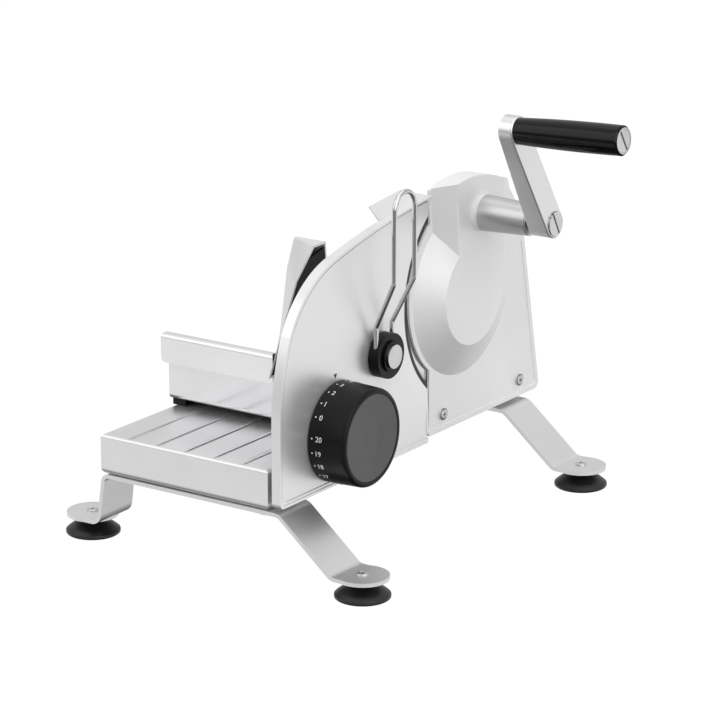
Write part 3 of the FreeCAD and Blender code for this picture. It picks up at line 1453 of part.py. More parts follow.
# Deflector
def deflector():
    """A wire loop on a round hub, which swings on a stud of the stop plate."""
    axis = ("deflector_y", "deflector_z")
    disc = rod("deflector_disc", "X", "deflector_left", "deflector_right", axis, "deflector_radius")
    bore = rod("deflector_bore", "X", "deflector_left", "deflector_left + stud_length + 0.3", axis,
               "stud_radius + running_gap")
    legs = [
        rod(f"wire_hole_{name}", "Z", "deflector_z + wire_seat", "deflector_z + wire_low",
            ("wire_x", y), "wire_radius + 0.02")
        for name, y in (("front", "deflector_y - wire_front"), ("back", "deflector_y + wire_back"))]
    piece("deflector_hub", cut("deflector_hub_drilled", disc, bore, *legs))
    ring = bush("deflector_ring", "deflector_right", "deflector_right + deflector_ring_depth", axis,
                "button_radius + 0.1", "deflector_ring_radius")
    piece("deflector_ring", ring)
    piece("deflector_button", rod(
        "deflector_button", "X", "deflector_right",
        "deflector_right + deflector_ring_depth + button_rise", axis, "button_radius"))
    piece("deflector_stud", rod("deflector_stud", "X", "stop_left + 2",
                                "deflector_left + stud_length", axis, "stud_radius"))
    piece("deflector_wire", wire_loop())


def wire_loop():
    x, hub_y, hub_z = values("wire_x", "deflector_y", "deflector_z")
    front, back, low, high, top = values("wire_front", "wire_back", "wire_low", "wire_high",
                                         "wire_top")
    spread, reach, bend, seat = values("wire_spread", "wire_reach", "wire_bend", "wire_seat")
    outer = x + reach
    middle = hub_y + (back - front) / 2
    arc_y = (middle - spread / 2, middle, middle + spread / 2)
    arc_z = hub_z + top - spread / 2
    up = [(x, hub_y - front, hub_z + seat), (x, hub_y - front, hub_z + low),
          (outer, arc_y[0], hub_z + high), (outer, arc_y[0], arc_z)]
    down = [(outer, arc_y[2], arc_z), (outer, arc_y[2], hub_z + high),
            (x, hub_y + back, hub_z + low), (x, hub_y + back, hub_z + seat)]
    radii = [0, bend, bend, 0]
    edges = rounded_line([FreeCAD.Vector(*spot) for spot in up], radii, closed=False)
    edges.append(Part.Arc(FreeCAD.Vector(*up[-1]),
                          FreeCAD.Vector(outer, arc_y[1], arc_z + spread / 2),
                          FreeCAD.Vector(*down[0])))
    edges += rounded_line([FreeCAD.Vector(*spot) for spot in down], radii, closed=False)
    route = Part.Wire([edge.toShape() for edge in edges])
    ring = Part.Wire(Part.makeCircle(value("wire_radius"), FreeCAD.Vector(*up[0]), Z_AXIS))
    thing = doc.addObject("Part::Feature", "deflector_loop")
    thing.Shape = route.makePipeShell([ring], True, False)
    return thing


# Carriage
def carriage():
    """One folded sheet: a floor, a wall in front and a hem over the wall's top."""
    gauge, bend, front, back = values("carriage_gauge", "carriage_bend", "carriage_front",
                                      "carriage_back")
    floor, top, hem, drop = values("carriage_floor_z", "wall_top", "hem_depth", "hem_height")
    lip = front + gauge - hem
    sheet = [(back, floor), (front, floor, bend), (front, top - gauge), (lip + gauge, top - gauge),
             (lip + gauge, top - drop), (lip, top - drop), (lip, top, 2.5),
             (front + gauge, top, 2.5), (front + gauge, floor + gauge, bend - gauge),
             (back, floor + gauge)]
    body = new_body("carriage_sheet")
    section = draw(sketch(body, "carriage_section", "YZ", "carriage_left"), rounded(sheet))
    pad(body, section, "carriage_width")
    holes = [rod(f"floor_screw_hole_{number}", "Z", "carriage_floor_z - 1",
                 "carriage_floor_z + carriage_gauge + 1", place,
                 "floor_screw_radius + running_gap")
             for number, place in enumerate(slider_screws())]
    holes += [sunk_head(f"floor_screw_seat_{number}", place)
              for number, place in enumerate(slider_screws())]
    piece("carriage", cut("carriage_drilled", body, *holes))
    piece("carriage_runner", block(
        "carriage_runner", ("carriage_left + 0.5", "carriage_front + carriage_bend",
                            "tray_top + runner_gap"),
        ("carriage_left + 0.5 + runner_width", "carriage_back", "carriage_floor_z")))


def slider_screws():
    """Places (x, y) of the screws that hold the slide blocks' necks."""
    return [("slide_x", f"carriage_front + {start} {side} floor_screw_spread")
            for start in ("slider_front", "slider_front + slider_pitch") for side in "-+"]


def sunk_head(name, place):
    """A floor screw's countersunk head, flush with the top of the carriage's floor."""
    top = "carriage_floor_z + carriage_gauge"
    return cone(name, "Z", f"{top} - floor_screw_sink", top, place, "floor_screw_radius",
                "floor_screw_head")


def carriage_slide():
    """Blocks below the tray's top ride on a rod and carry the floor through the slot."""
    blocks, screws = [], []
    top = "roof_inner - 0.5"
    for side, start in (("front", "slider_front"), ("back", "slider_front + slider_pitch")):
        middle = f"carriage_front + {start}"
        low = ("slide_x - slider_width / 2", f"{middle} - slider_length / 2",
               "slide_rod_z - slide_rod_radius - slider_sole")
        high = ("slide_x + slider_width / 2", f"{middle} + slider_length / 2", top)
        foot = block(f"slide_block_{side}_foot", low, high)
        neck = block(f"slide_block_{side}_neck",
                     ("slide_x - neck_width / 2", f"{middle} - neck_length / 2",
                      "roof_inner - 1.5"),
                     ("slide_x + neck_width / 2", f"{middle} + neck_length / 2",
                      "carriage_floor_z"))
        bore = rod(f"slide_block_{side}_bore", "Y", low[1], high[1], ("slide_x", "slide_rod_z"),
                   "slide_rod_radius + running_gap")
        threads = [rod(f"slide_block_{side}_thread_{number}", "Z",
                       "carriage_floor_z - floor_screw_reach - 0.5", "carriage_floor_z", place,
                       "floor_screw_radius + running_gap")
                   for number, place in enumerate(slider_screws())]
        blocks.append(cut(f"slide_block_{side}_drilled",
                          fuse(f"slide_block_{side}_form", foot, neck), bore, *threads))
    piece("slide_blocks", group("slide_block_set", *blocks))
    for number, place in enumerate(slider_screws()):
        shank = rod(f"floor_screw_{number}_shank", "Z", "carriage_floor_z - floor_screw_reach",
                    "carriage_floor_z + carriage_gauge - floor_screw_sink", place,
                    "floor_screw_radius")
        screws.append(fuse(f"floor_screw_{number}",
                           sunk_head(f"floor_screw_{number}_head", place), shank))
    piece("carriage_screws", group("floor_screw_set", *screws))
    piece("slide_rod", rod("slide_rod", "Y", "slide_rod_front", "slide_rod_back",
                           ("slide_x", "slide_rod_z"), "slide_rod_radius"))
    ends = {"front": ("slide_rod_front", "slide_rod_front + slide_bracket_gauge"),
            "back": ("slide_rod_back - slide_bracket_gauge", "slide_rod_back")}
    brackets = []
    for side, (start, end) in ends.items():
        bar = block(f"rod_bracket_{side}_bar", ("slide_x - 10", start, "slide_rod_z - 6"),
                    ("slide_x + 10", end, "roof_inner"))
        seat = rod(f"rod_bracket_{side}_seat", "Y", start, end, ("slide_x", "slide_rod_z"),
                   "slide_rod_radius + 0.02")
        brackets.append(cut(f"rod_bracket_{side}", bar, seat))
    piece("slide_rod_brackets", group("rod_bracket_set", *brackets))


# Leftover holder
def leftover_holder():
    """A saddle that hangs on the carriage's wall, a link block and a hollow hand shield."""
    front, back, top = values("saddle_front", "saddle_back", "saddle_top")
    gauge, drop, back_drop, corner = values("saddle_gauge", "saddle_drop", "saddle_back_drop",
                                            "saddle_corner")
    sheet = [(front, top - drop), (front, top, corner), (back, top, corner),
             (back, top - back_drop), (back - gauge, top - back_drop),
             (back - gauge, top - gauge, corner - gauge), (front + gauge, top - gauge,
             corner - gauge), (front + gauge, top - drop)]
    body = new_body("saddle_sheet")
    pad(body, draw(sketch(body, "saddle_section", "YZ", "saddle_left"), rounded(sheet)),
        "saddle_length")
    fillet(body, "4", saddle_corner_edge, "saddle_corners")
    piece("holder_saddle", body)
    bar = block("link_bar", ("saddle_right", "saddle_front", "link_top - link_height"),
                ("link_right", "saddle_back + link_back", "link_top"))
    channel = block("link_channel",
                    ("saddle_right", "saddle_front + saddle_gauge", "link_top - link_height"),
                    ("link_right", "saddle_back - saddle_gauge", "saddle_top - saddle_gauge"))
    threads = [rod(f"link_thread_{number}", "Z", "link_top - 3.2", "link_top", place, "1.25")
               for number, place in enumerate(shield_screws())]
    foot = block("shield_plate_foot",
                 ("link_right - shield_plate_gauge", "saddle_front", "saddle_top - saddle_gauge"),
                 ("shield_right", "saddle_back", "link_top"))
    piece("holder_link", fuse("link_with_plate", cut("link_cut", bar, channel, *threads), foot,
                              *shield_plate()))
    hand_shield()


def saddle_corner_edge(edge):
    """The saddle's lower corners."""
    box = edge.BoundBox
    low = value("saddle_top") - value("saddle_back_drop")
    return box.ZMax < low + 0.1 and box.YLength > 1 and box.XLength < 0.1 and box.ZLength < 0.1


def shield_screws():
    """Places (x, y) of the two screws between the link and the shield's floor."""
    return [("shield_right - shield_screw_inset", "saddle_back + 1.2"),
            ("shield_right - shield_screw_inset - shield_screw_pitch", "saddle_back + 1.2")]


def shield_corners(level, inset=0):
    """The shield's nose, tail and left corner (x, y) at its low, bend or high level.

    The nose lies ahead of the saddle's front, the left corner and the tail lie behind it.
    """
    right, front = values("shield_right", "saddle_front")
    ahead, width, behind, tail_behind = values(*[
        f"shield_{level}_{part}" for part in ("nose", "width", "left", "tail")])
    nose, tail = (right, front - ahead), (right, front + tail_behind)
    left = (right - width, front + behind)
    if not inset:
        return [nose, tail, left]
    near, corner, far = offset_line([nose, left, tail], -inset)
    return [stretch(corner, near, right + 1), stretch(corner, far, right + 1), corner]


def stretch(start, through, x):
    """The point at a place x on the line through two points."""
    share = (x - start[0]) / (through[0] - start[0])
    return (x, start[1] + (through[1] - start[1]) * share)


def shield_form(name, inset, lowest, highest):
    """A three-sided column through the shield's levels, between two heights."""
    bottom = value("link_top")
    sections = []
    heights = {"low": 0, "bend": value("shield_bend_height"), "high": value("shield_height")}
    for level, rise in heights.items():
        spots = [FreeCAD.Vector(*corner, 0) for corner in shield_corners(level, inset)]
        radius = max(value("shield_corner") - inset, 0.4)
        edges = rounded_line(spots, [0, 0, radius], closed=True)
        wire = Part.Wire([edge.toShape() for edge in edges])
        wire.translate(FreeCAD.Vector(0, 0, bottom + min(max(rise, lowest), highest)))
        sections.append(wire)
    thing = doc.addObject("Part::Feature", name)
    thing.Shape = Part.makeLoft(sections, True, True)
    return thing


def shield_plate():
    """The upright plate that closes the shield's side, below its top, and its stem."""
    height, wall, gap, drop, slope = values("shield_height", "shield_wall", "shield_plate_gap",
                                            "shield_plate_drop", "shield_plate_slope")
    bottom, front = values("link_top", "saddle_front")
    inner = shield_form("shield_plate_form", wall + gap, wall + gap, height - wall)
    tail_y = front + value("shield_high_tail")
    ends = (front - 2 * height, front + height)
    slant = [(y, bottom + height - drop - slope * (tail_y - y)) for y in reversed(ends)]
    body = new_body("shield_plate")
    side = sketch(body, "shield_plate_side", "YZ", "shield_right - shield_plate_gauge")
    pad(body, draw(side, rounded([(ends[0], bottom), (ends[1], bottom)] + slant)),
        "shield_plate_gauge")
    plate = common("shield_plate_cut", inner, body)
    stem = block("shield_plate_stem",
                 ("shield_right - shield_plate_gauge", "saddle_front", "link_top - 1"),
                 ("shield_right", "saddle_back", "link_top + shield_wall + shield_plate_gap + 1"))
    return plate, stem


def hand_shield():
    """A hollow shell of three walls, a floor and a top, open towards the blade."""
    height, wall = values("shield_height", "shield_wall")
    outside = shield_form("shield_outside", 0, 0, height)
    inside = shield_form("shield_inside", wall, wall, height - wall)
    notch = block("shield_foot_notch",
                  ("shield_right - shield_plate_gauge - shield_plate_gap",
                   "saddle_front - shield_plate_gap", "link_top - 1"),
                  ("shield_right + 1", "saddle_back + shield_plate_gap",
                   "link_top + shield_wall + 1"))
    holes, screws = [], []
    for number, place in enumerate(shield_screws()):
        floor = "link_top + shield_wall"
        holes.append(rod(f"shield_hole_{number}", "Z", "link_top - 1", f"{floor} + 1", place,
                         "1.25"))
        screws.append(pan_screw(f"shield_screw_{number}", "Z", floor, place, "1.2", "2.2", "1",
                                "shield_wall + 2.8"))
    piece("hand_shield", cut("shield_hollow", outside, inside, notch, *holes))
    piece("shield_screws", group("shield_screw_set", *screws))


def build():
    leg_frame("leg_frame_front", "foot_front")
    leg_frame("leg_frame_back", "foot_back")
    feet()
    tray()
    housing()
    bearing_plate()
    bushes()
    housing_fixings()
    blade()
    blade_drive()
    drive_gears()
    crank_shaft()
    crank_arm()
    grip()
    stop_plate()
    stop_slide()
    knob()
    dial_gears()
    feed_screw()
    deflector()
    carriage()
    carriage_slide()
    leftover_holder()
    doc.recompute()


def check():
    """Stop before anything is written if an object failed."""
    faults = [thing.Name for thing in doc.Objects
              if "Invalid" in thing.State or "Error" in thing.State]
    for thing in pieces:
        shape = thing.Shape
        if shape.isNull() or not shape.isValid() or not shape.Solids:
            faults.append(thing.Label)
    if faults:
        raise ValueError("failed: " + ", ".join(faults))


def write():
    os.makedirs("parts", exist_ok=True)
    for thing in pieces:
        thing.Shape.exportStep(os.path.join("parts", thing.Label + ".step"))


build()
check()
write()
print(len(pieces), "nodes")
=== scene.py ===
"""Looks of the hand-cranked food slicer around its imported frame: finishes, pressed ribs, screw
recesses, the deflector's wire, printed marks, a pale floor, soft light and the camera. All lengths
are in metres, in the CAD frame."""

import json
import math

import bpy
import numpy as np
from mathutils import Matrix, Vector


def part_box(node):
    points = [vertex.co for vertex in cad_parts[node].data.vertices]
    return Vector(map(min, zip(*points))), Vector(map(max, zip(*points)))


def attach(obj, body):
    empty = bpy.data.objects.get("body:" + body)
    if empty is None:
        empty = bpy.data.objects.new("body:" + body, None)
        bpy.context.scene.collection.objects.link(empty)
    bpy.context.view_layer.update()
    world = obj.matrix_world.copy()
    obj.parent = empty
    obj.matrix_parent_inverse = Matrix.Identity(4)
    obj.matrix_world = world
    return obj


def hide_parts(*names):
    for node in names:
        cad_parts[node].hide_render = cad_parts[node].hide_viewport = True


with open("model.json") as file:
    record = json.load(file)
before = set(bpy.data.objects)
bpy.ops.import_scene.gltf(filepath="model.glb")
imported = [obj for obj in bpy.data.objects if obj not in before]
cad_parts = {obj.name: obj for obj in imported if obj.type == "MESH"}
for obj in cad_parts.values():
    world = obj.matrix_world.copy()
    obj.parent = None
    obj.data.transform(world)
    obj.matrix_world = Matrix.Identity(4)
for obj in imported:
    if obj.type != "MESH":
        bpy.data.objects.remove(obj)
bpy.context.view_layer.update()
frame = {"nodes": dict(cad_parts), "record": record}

nodes = frame["nodes"]
scene = bpy.context.scene

MM = 0.001
FULL_TURN = 2 * math.pi
SHARP_ANGLE = 35

# Places on the body, as (y, z)
BLADE_AXIS = (0.078, 0.1725)
KNOB_AXIS = (-0.1015, 0.1024)
POINTER = (-0.1035, 0.1450)
PLATE_TIP = (0.026, 0.2555)

# The casting's polished boss, whose colour is darkened as painted shade, and the plate's edge along
# the blade, darkened as a painted shadow of the gap beside it
BOSS_START = 79 * MM
BOSS_BLEND = 0.5 * MM
PLATE_ARC = 86 * MM
ARC_SHADE = 3.4 * MM
ARC_BLEND = 0.3 * MM

# Ribs of the tray
RIB_COUNT = 5
RIB_FIRST = -75.3 * MM
RIB_PITCH = 26.4 * MM
RIB_WIDTH = 1.8 * MM
RIB_HEIGHT = 0.07 * MM
RIB_INSET = 2.5 * MM
RIB_FADE = 0.03

# Screws
FOOT_HEAD_RADIUS = 4.5 * MM
FOOT_SHANK_RADIUS = 2 * MM
FOOT_HEAD_DEPTH = 1.8 * MM
FOOT_DOME = 0.35 * MM
FOOT_SOCKET = (2.7 * MM, 0.62 * MM, 1.3 * MM)
HOUSING_SOCKET = (2.4 * MM, 0.6 * MM, 0.85 * MM)
HOUSING_RIM_SHARE = 0.88
HOUSING_SEAT = -0.3 * MM

# Wire of the deflector
CAD_WIRE_RADIUS = 1.4 * MM
WIRE_RADIUS = 1.9 * MM
WIRE_LEG_INSET = 3 * MM
WIRE_FIRST_BEND = 17.7 * MM
WIRE_SECOND_BEND = 54.5 * MM
WIRE_BEND_RADIUS = 7 * MM
WIRE_TOP_STEPS = 33

# Dial and pointer
KNOB_RADIUS = 38.5 * MM
DOT_LINE = 70.5 * MM
DOT_RADIUS = 0.65 * MM
DIGIT_START = 3.3 * MM
DIGIT_SIZE = 5.8 * MM
PRINT_LIFT = 0.1 * MM
DIAL_ZERO = 148.8
DIAL_STEP = 16.8
DIAL_MARKS = 21
POINTER_HALF_WIDTH = 2.1 * MM
POINTER_HALF_HEIGHT = 1.8 * MM

# Line of painted shade inside the plate's rim, where the rim's step casts a thin shadow. Each spot
# of the outline is a distance back from the front edge, one up from the bottom edge, and how many
# times the inset it drops.
PLATE_RECESS = 0.7 * MM
RIM_INSET = 2.5 * MM
RIM_HALF_WIDTH = 0.38 * MM
RIM_START = 4 * MM
RIM_SPOTS = ((0, 58 * MM, 1), (4.5 * MM, 101.5 * MM, 2), (12.7 * MM, 128 * MM, 2),
             (34 * MM, 155.5 * MM, 2))
SHOULDER_BACK = 66 * MM
SHOULDER_DROP = 22 * MM
CROWN_DROP = 8 * MM


# Finishes
class Nodes:
    """A node tree under construction: small helpers that add and link nodes."""

    def __init__(self, tree):
        self.tree = tree

    def add(self, kind, **settings):
        node = self.tree.nodes.new("ShaderNode" + kind)
        for key, setting in settings.items():
            setattr(node, key, setting)
        return node

    def link(self, source, target):
        self.tree.links.new(source, target)

    def sum_of(self, first, second):
        """The sum of two sockets."""
        return self.combined("ADD", first, second)

    def product(self, first, second):
        """A socket times a socket or a number."""
        return self.combined("MULTIPLY", first, second)

    def combined(self, operation, first, second):
        node = self.add("Math", operation=operation)
        self.link(first, node.inputs[0])
        if isinstance(second, (int, float)):
            node.inputs[1].default_value = second
        else:
            self.link(second, node.inputs[1])
        return node.outputs["Value"]

    def spread(self, source, low, high, start=0.3, end=0.7):
        """A value from low to high while the source runs from start to end."""
        remap = self.add("MapRange")
        for name, value in (("From Min", start), ("From Max", end), ("To Min", low),
                            ("To Max", high)):
            remap.inputs[name].default_value = value
        self.link(source, remap.inputs["Value"])
        return remap.outputs["Result"]

    def reach(self, kind, direction):
        """How far the texture coordinates of a kind run along a direction."""
        dot = self.add("VectorMath", operation="DOT_PRODUCT")
        dot.inputs[1].default_value = direction
        self.link(self.add("TexCoord").outputs[kind], dot.inputs[0])
        return dot.outputs["Value"]


class Finish(Nodes):
    """A material under construction, in object coordinates."""

    def __init__(self, name, colour, metallic, roughness, specular=0.5):
        self.material = bpy.data.materials.new(name)
        self.material.use_nodes = True
        super().__init__(self.material.node_tree)
        self.shader = self.tree.nodes["Principled BSDF"]
        self.shader.inputs["Base Color"].default_value = (*colour, 1)
        self.shader.inputs["Metallic"].default_value = metallic
        self.shader.inputs["Roughness"].default_value = roughness
        self.shader.inputs["Specular IOR Level"].default_value = specular
        self.colour = colour
        self.roughness = roughness

    def stretched(self, scale, centre=(0, 0, 0)):
        """Object coordinates in units that differ along X, Y and Z."""
        mapping = self.add("Mapping")
        mapping.inputs["Location"].default_value = [-c * s for c, s in zip(centre, scale)]
        mapping.inputs["Scale"].default_value = scale
        self.link(self.add("TexCoord").outputs["Object"], mapping.inputs["Vector"])
        return mapping.outputs["Vector"]

    def distance(self, centre):
        """The distance from an axis along X through centre, given as (y, z)."""
        split = self.add("SeparateXYZ")
        self.link(self.stretched((1, 1, 1), (0, *centre)), split.inputs["Vector"])
        flat = self.add("CombineXYZ")
        self.link(split.outputs["Y"], flat.inputs["Y"])
        self.link(split.outputs["Z"], flat.inputs["Z"])
        length = self.add("VectorMath", operation="LENGTH")
        self.link(flat.outputs["Vector"], length.inputs[0])
        return length.outputs["Value"]

    def rings(self, centre, scale):
        """Coordinates that change only with the distance from an axis along X."""
        ring = self.add("CombineXYZ")
        self.link(self.product(self.distance(centre), scale), ring.inputs["X"])
        return ring.outputs["Vector"]

    def noise(self, vector, detail):
        """Noise from 0 to 1 over the given coordinates."""
        texture = self.add("TexNoise")
        texture.inputs["Scale"].default_value = 1
        texture.inputs["Detail"].default_value = detail
        texture.inputs["Roughness"].default_value = 0.55
        self.link(vector, texture.inputs["Vector"])
        return texture.outputs["Fac"]

    def even_noise(self, scale, detail):
        """Noise of one scale along all axes."""
        return self.noise(self.stretched((scale,) * 3), detail)

    def tint(self, factor):
        """The base colour times a factor."""
        mix = self.add("Mix", data_type="RGBA", blend_type="MULTIPLY")
        mix.inputs["Factor"].default_value = 1
        mix.inputs["A"].default_value = (*self.colour, 1)
        self.link(factor, mix.inputs["B"])
        self.link(mix.outputs["Result"], self.shader.inputs["Base Color"])

    def gloss(self, source, change):
        """Roughness that varies by change to each side."""
        level = self.spread(source, self.roughness - change, self.roughness + change)
        self.link(level, self.shader.inputs["Roughness"])

    def relief(self, source, depth):
        """A bump of the given depth in metres."""
        bump = self.add("Bump")
        bump.inputs["Distance"].default_value = depth
        bump.inputs["Strength"].default_value = 1
        self.link(source, bump.inputs["Height"])
        self.link(bump.outputs["Normal"], self.shader.inputs["Normal"])

    def blasted(self):
        """A fine even grain; returns soft clouds and the colour's factor over them."""
        self.relief(self.even_noise(2400, 2), 2e-6)
        clouds = self.even_noise(11, 4)
        return clouds, self.spread(clouds, 0.97, 1.02)


def brushed(name, colour, roughness):
    """Metal brushed along X."""
    finish = Finish(name, colour, 0.85, roughness)
    lines = finish.noise(finish.stretched((30, 2600, 2600)), 4)
    finish.gloss(lines, 0.03)
    finish.tint(finish.spread(finish.even_noise(14, 3), 0.97, 1.03))
    finish.relief(lines, 5e-7)
    return finish.material


def satin_metal(name, colour, roughness, metallic=0.7):
    """Blasted and anodised metal."""
    finish = Finish(name, colour, metallic, roughness)
    clouds, factor = finish.blasted()
    finish.gloss(clouds, 0.03)
    finish.tint(factor)
    return finish.material


def housing_finish():
    """Blasted casting, with a turned and polished boss beyond its front face, its colour darkened
    there as painted shade.
    """
    finish = Finish("satin_housing", (0.92, 0.92, 0.925), 0.62, 0.60)
    factor = finish.blasted()[1]
    # Beyond BOSS_START the colour falls to 0.66 of the casting's as painted shade for the boss's
    # dark reflections; the fuller metallic and lower roughness there are the real turned finish.
    depth = finish.reach("Object", (1, 0, 0))
    ends = (BOSS_START, BOSS_START + BOSS_BLEND)
    finish.tint(finish.product(factor, finish.spread(depth, 1, 0.66, *ends)))
    for socket, cast, polished in (("Metallic", 0.62, 1), ("Roughness", 0.60, 0.34)):
        finish.link(finish.spread(depth, cast, polished, *ends), finish.shader.inputs[socket])
    return finish.material


def plate_finish():
    """Anodised plate whose edge along the blade's arc is darkened as a painted shadow of the gap
    between the plate and the housing.
    """
    finish = Finish("satin_plate", (0.87, 0.87, 0.875), 0.72, 0.38)
    clouds, factor = finish.blasted()
    finish.gloss(clouds, 0.03)
    # Painted shadow: within ARC_SHADE of the arc edge the plate's colour falls almost to black,
    # standing in for the deep gap beside the blade.
    edge = PLATE_ARC + ARC_SHADE
    shade = finish.spread(finish.distance(BLADE_AXIS), 0.04, 1, edge - ARC_BLEND, edge + ARC_BLEND)
    finish.tint(finish.product(factor, shade))
    return finish.material


def turned(name, colour, roughness, centre):
    """Metal ground in rings about an axis along X."""
    finish = Finish(name, colour, 1, roughness)
    rings = finish.noise(finish.rings(centre, 5200), 3)
    finish.gloss(rings, 0.07)
    finish.relief(rings, 1.5e-6)
    return finish.material


def plated(name, colour, roughness):
    """Smooth plated metal with faint wipe marks."""
    finish = Finish(name, colour, 1, roughness)
    finish.gloss(finish.even_noise(60, 5), roughness * 0.5)
    return finish.material


def plastic(name, level, roughness, grain=1800, depth=6e-6, change=0.05, coat=0, specular=0.5):
    """Moulded plastic with a fine eroded texture, its colour a grey level or three of them."""
    colour = level if isinstance(level, tuple) else (level,) * 3
    finish = Finish(name, colour, 0, roughness, specular)
    clouds = finish.even_noise(45, 4)
    finish.gloss(clouds, change)
    finish.tint(finish.spread(clouds, 0.85, 1.15))
    finish.relief(finish.even_noise(grain, 3), depth)
    if coat:
        finish.shader.inputs["Coat Weight"].default_value = coat
        finish.shader.inputs["Coat Roughness"].default_value = 0.04
    return finish.material


sheet_metal = brushed("brushed_sheet", (0.80, 0.80, 0.81), 0.34)
steel_metal = plated("bare_steel", (0.62, 0.62, 0.63), 0.28)
# Dark grey of the painted shade line along the foot of the stop plate's rim.
rim_shade_grey = satin_metal("painted_rim_shade", (0.14, 0.14, 0.14), 0.5)
print_white = plastic("printed_white", (0.82, 0.82, 0.80), 0.5, depth=1e-6)
# Black for the printed pointer, and also for painted shade in the screws' sockets and in the gaps
# round the housing's screws.
print_and_shade_black = plastic("print_and_painted_shade_black", 0.015, 0.5, depth=1e-6)
BY_SLOT = {
    "sheet_aluminium": sheet_metal,
    "strip_aluminium": satin_metal("satin_strip", (0.78, 0.78, 0.785), 0.42, 0.95),
    "cast_aluminium": housing_finish(),
    "blade_steel": turned("ground_blade", (0.72, 0.72, 0.73), 0.20, BLADE_AXIS),
    "steel": steel_metal,
    "chrome": plated("chrome", (0.70, 0.70, 0.71), 0.08),
    "brass": plated("brass", (0.78, 0.60, 0.30), 0.26),
    "bronze": plated("sintered_bronze", (0.62, 0.45, 0.28), 0.45),
    "black_satin": plastic("satin_black", (0.004, 0.004, 0.0042), 0.36, 3200, 1.5e-6,
                           specular=0.2),
    "black_gloss": plastic("gloss_black", 0.003, 0.11, depth=5e-7, change=0.03, coat=0.1,
                           specular=0.2),
    "gear_plastic": plastic("gear_plastic", (0.70, 0.70, 0.66), 0.45),
    "rubber": plastic("foot_rubber", 0.004, 0.40, 1500, 4e-6),
}
OWN_FINISH = {
    "stop_plate": plate_finish(),
    "crank_arm": satin_metal("satin_arm", (0.80, 0.80, 0.805), 0.34, 0.95),
    "carriage": brushed("brushed_carriage", (0.76, 0.76, 0.77), 0.16),
    "holder_saddle": brushed("brushed_saddle", (0.88, 0.88, 0.885), 0.30),
    "hand_shield": satin_metal("satin_shield", (0.80, 0.80, 0.805), 0.45, 0.45),
    # The cap is the knob's black plastic made lighter than the side, as painted sheen where light
    # falls on its face.
    "knob_cap": plastic("satin_cap_painted_sheen", (0.068, 0.068, 0.069), 0.36, 3200, 2e-6),
}
slot_of = {part["node"]: part["material_slot"] for part in frame["record"]["subparts"]}
for node, thing in nodes.items():
    thing.data.materials.clear()
    thing.data.materials.append(OWN_FINISH.get(node, BY_SLOT[slot_of[node]]))


# Small pieces that the frame leaves plain
def add_piece(name, points, faces, finish, body, slot):
    """A closed mesh in the frame's own place, riding on a body.

    The volume under its triangles, with each quad cut in two, tells whether its faces look
    inwards; then they are all turned.
    """
    points = np.asarray(points, float)
    first, second, third = (points[[face[k] for face in faces]] for k in range(3))
    volume = np.einsum("ij,ij->", first, np.cross(second, third))
    quads = [face for face in faces if len(face) == 4]
    if quads:
        near, far, last = (points[[face[k] for face in quads]] for k in (0, 2, 3))
        volume += np.einsum("ij,ij->", near, np.cross(far, last))
    if volume < 0:
        faces = [face[::-1] for face in faces]
    mesh = bpy.data.meshes.new(name)
    mesh.from_pydata(points.tolist(), [], faces)
    mesh.polygons.foreach_set("use_smooth", np.ones(len(faces), dtype=bool))
    mesh.set_sharp_from_angle(angle=math.radians(SHARP_ANGLE))
    mesh.materials.append(finish)
    thing = bpy.data.objects.new(name, mesh)
    scene.collection.objects.link(thing)
    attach(thing, body)
    return thing


def skin(rows):
    """Points and faces of a closed surface through a grid of points.

    Each row is a loop, neighbouring rows are joined by quads, and a fan to its middle closes
    the first and the last row.
    """
    count, around = rows.shape[:2]
    points = np.vstack([rows.reshape(-1, 3), rows[0].mean(0), rows[-1].mean(0)])
    index = np.arange(count * around).reshape(count, around)
    near, far = index[:-1], index[1:]
    quads = np.stack([near, np.roll(near, -1, 1), np.roll(far, -1, 1), far], -1).reshape(-1, 4)
    first, last = index[0], index[-1]
    start = np.stack([np.roll(first, -1), first, np.full(around, count * around)], -1)
    finish = np.stack([last, np.roll(last, -1), np.full(around, count * around + 1)], -1)
    return points, quads.tolist() + start.tolist() + finish.tolist()


def ring(rows):
    """Points and faces of a closed band: rows of a turned shape whose last row meets its first."""
    count, around = rows.shape[:2]
    index = np.arange(count * around).reshape(count, around)
    far = np.roll(index, -1, 0)
    quads = np.stack([index, np.roll(index, -1, 1), np.roll(far, -1, 1), far], -1)
    return rows.reshape(-1, 3), quads.reshape(-1, 4).tolist()


def joined(parts):
    """Several surfaces as one list of points and one of faces."""
    points, faces, used = [], [], 0
    for own_points, own_faces in parts:
        points.append(own_points)
        faces += [tuple(number + used for number in face) for face in own_faces]
        used += len(own_points)
    return np.vstack(points), faces


def repeated(rows, spots, surface=skin):
    """One surface at each of several spots, as one list of points and one of faces."""
    return joined([surface(rows + np.array(spot)) for spot in spots])


def unit(rows):
    """Each row of an array at length 1."""
    return rows / np.linalg.norm(rows, axis=1, keepdims=True)


def pressed_rib(x, front, back, level):
    """A low rib in the tray's sheet.

    Across, its height is a raised cosine. It is carried along Y and fades at its ends with the
    sine of a quarter turn.
    """
    across = np.linspace(-1, 1, 13)
    ends = np.linspace(0, 1, 7) * RIB_FADE
    along = np.concatenate([ends, 1 - ends[::-1]])
    fade = np.sin(np.clip(np.minimum(along, 1 - along) / RIB_FADE, 0, 1) * math.pi / 2)
    rise = RIB_HEIGHT * (1 + np.cos(math.pi * across)) / 2
    crest = np.zeros((len(along), len(across), 3))
    crest[..., 0] = x + across * RIB_WIDTH / 2
    crest[..., 1] = (front + (back - front) * along)[:, None]
    crest[..., 2] = level + fade[:, None] * rise
    root = crest[:, ::-1].copy()
    root[..., 2] = level - RIB_HEIGHT
    return skin(np.concatenate([crest, root], axis=1))


